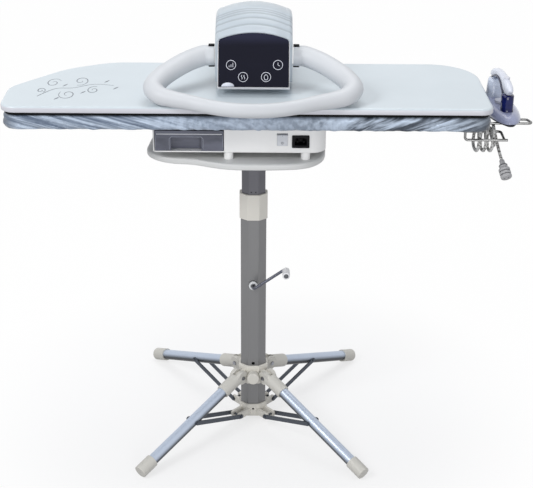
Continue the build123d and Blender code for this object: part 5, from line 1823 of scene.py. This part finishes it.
@dataclass
class Studio:
    """Pale floor, soft lamps and the camera at the photograph's angle."""

    eye: tuple[float, float, float] = (0.0262, -2.530, 1.572)
    pitch: float = math.radians(24.82)
    roll: float = math.radians(0.37)
    lens: float = 93.1

    def build(self) -> None:
        """Sets up the camera, the floor, the lamps and the white surround."""
        self._place_camera()
        self._lay_floor()
        self._light()
        bpy.context.scene.view_settings.view_transform = "Standard"
        log.info("studio: camera, floor, lamps and surround set")

    def _place_camera(self) -> None:
        """Places the camera by its height, pitch and roll."""
        lens = bpy.data.cameras.new("studio_camera")
        lens.lens = self.lens
        lens.sensor_width = 36.0
        camera = bpy.data.objects.new("studio_camera", lens)
        turned = Matrix.Rotation(math.pi / 2 - self.pitch, 4, "X") @ Matrix.Rotation(self.roll, 4, "Z")
        camera.matrix_world = Matrix.Translation(self.eye) @ turned
        bpy.context.scene.collection.objects.link(camera)
        bpy.context.scene.camera = camera

    def _bright_to_camera(self, recipe: Recipe) -> Wire:
        """Is 1 for rays that show the surround itself, straight, mirrored or seen through."""
        path = recipe.add("ShaderNodeLightPath")
        outputs = path.socket.node.outputs
        straight = Wire(recipe, outputs["Is Camera Ray"])
        mirrored = Wire(recipe, outputs["Is Glossy Ray"])
        through = Wire(recipe, outputs["Is Transmission Ray"])
        return recipe.maths("MINIMUM", straight + mirrored + through, 1.0)

    def _lay_floor(self) -> None:
        """Lays a wide pale floor that keeps the press's shadow."""
        recipe = Recipe("floor_paper")
        place = recipe.place()
        grain = recipe.cloud(place, 300.0, 2.0)
        paper = recipe.add(
            "ShaderNodeBsdfPrincipled",
            None,
            {
                "Base Color": recipe.mix(grain, paint(250, 250, 251), paint(246, 246, 248)),
                "Roughness": 0.9,
                "Normal": recipe.bump(grain, 0.0001, 0.2),
            },
        )
        dim = recipe.add("ShaderNodeBsdfDiffuse", None, {"Color": (0.4, 0.4, 0.41, 1.0)})
        glow = recipe.add("ShaderNodeEmission", None, {"Color": (1.0, 1.0, 1.0, 1.0), "Strength": 1.0})
        far = recipe.add("ShaderNodeVectorMath", {"operation": "LENGTH"}, {0: place}, "Value")
        share = 0.68 + recipe.step(far, 0.3, 0.7) * 0.3
        shown = recipe.add("ShaderNodeMixShader", None, {0: share, 1: paper, 2: glow})
        mixed = recipe.add("ShaderNodeMixShader", None, {0: self._bright_to_camera(recipe), 1: dim, 2: shown})
        recipe.add_output(mixed)
        half = 6.0
        rings = [[(-half, y, 0.0), (half, y, 0.0)] for y in (-half, 0.0, half)]
        floor = as_piece("studio_floor", skin("studio_floor", rings, Wrap.OPEN, closed=False), recipe.owner)

    def _lamp(self, name: str, place: Place, size: float, watts: float) -> None:
        """Hangs one square soft lamp that points at the board."""
        light = bpy.data.lights.new(name, "AREA")
        light.size = size
        light.energy = watts
        lamp = bpy.data.objects.new(name, light)
        lamp.location = place
        aim = Vector((0.0, 0.0, 0.5)) - Vector(place)
        lamp.rotation_mode = "QUATERNION"
        lamp.rotation_quaternion = aim.to_track_quat("-Z", "Y")
        bpy.context.scene.collection.objects.link(lamp)

    def _light(self) -> None:
        """Lights the press from above, from the left front and softly from the right."""
        self._lamp("key_lamp", (-1.9, -1.6, 2.6), 1.0, 36.0)
        self._lamp("fill_lamp", (0.5, -3.0, 0.62), 1.4, 30.0)
        self._lamp("top_lamp", (0.2, 0.8, 3.0), 1.6, 22.0)
        world = bpy.data.worlds.new("studio_surround")
        recipe = Recipe("studio_surround", world)
        soft = recipe.add("ShaderNodeBackground", None, {"Color": (0.95, 0.965, 1.0, 1.0), "Strength": 0.53})
        white = recipe.add("ShaderNodeBackground", None, {"Color": (1.0, 1.0, 1.0, 1.0), "Strength": 1.0})
        factor = self._bright_to_camera(recipe)
        mixed = recipe.add("ShaderNodeMixShader", None, {0: factor, 1: soft, 2: white})
        recipe.add_output(mixed, "ShaderNodeOutputWorld")
        bpy.context.scene.world = world


def main() -> None:
    """Builds the press piece by piece, then the studio."""
    logging.basicConfig(level=logging.INFO, format="%(name)s: %(message)s")
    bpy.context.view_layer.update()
    Studio().build()
    Cord().build()
    Stand().build()
    Base().build()
    Board().build()
    UpperPlate().build()
    Head().build()
    Handle().build()
    WireRacks().build()
    Iron().build()


if __name__ == "__main__":
    main()
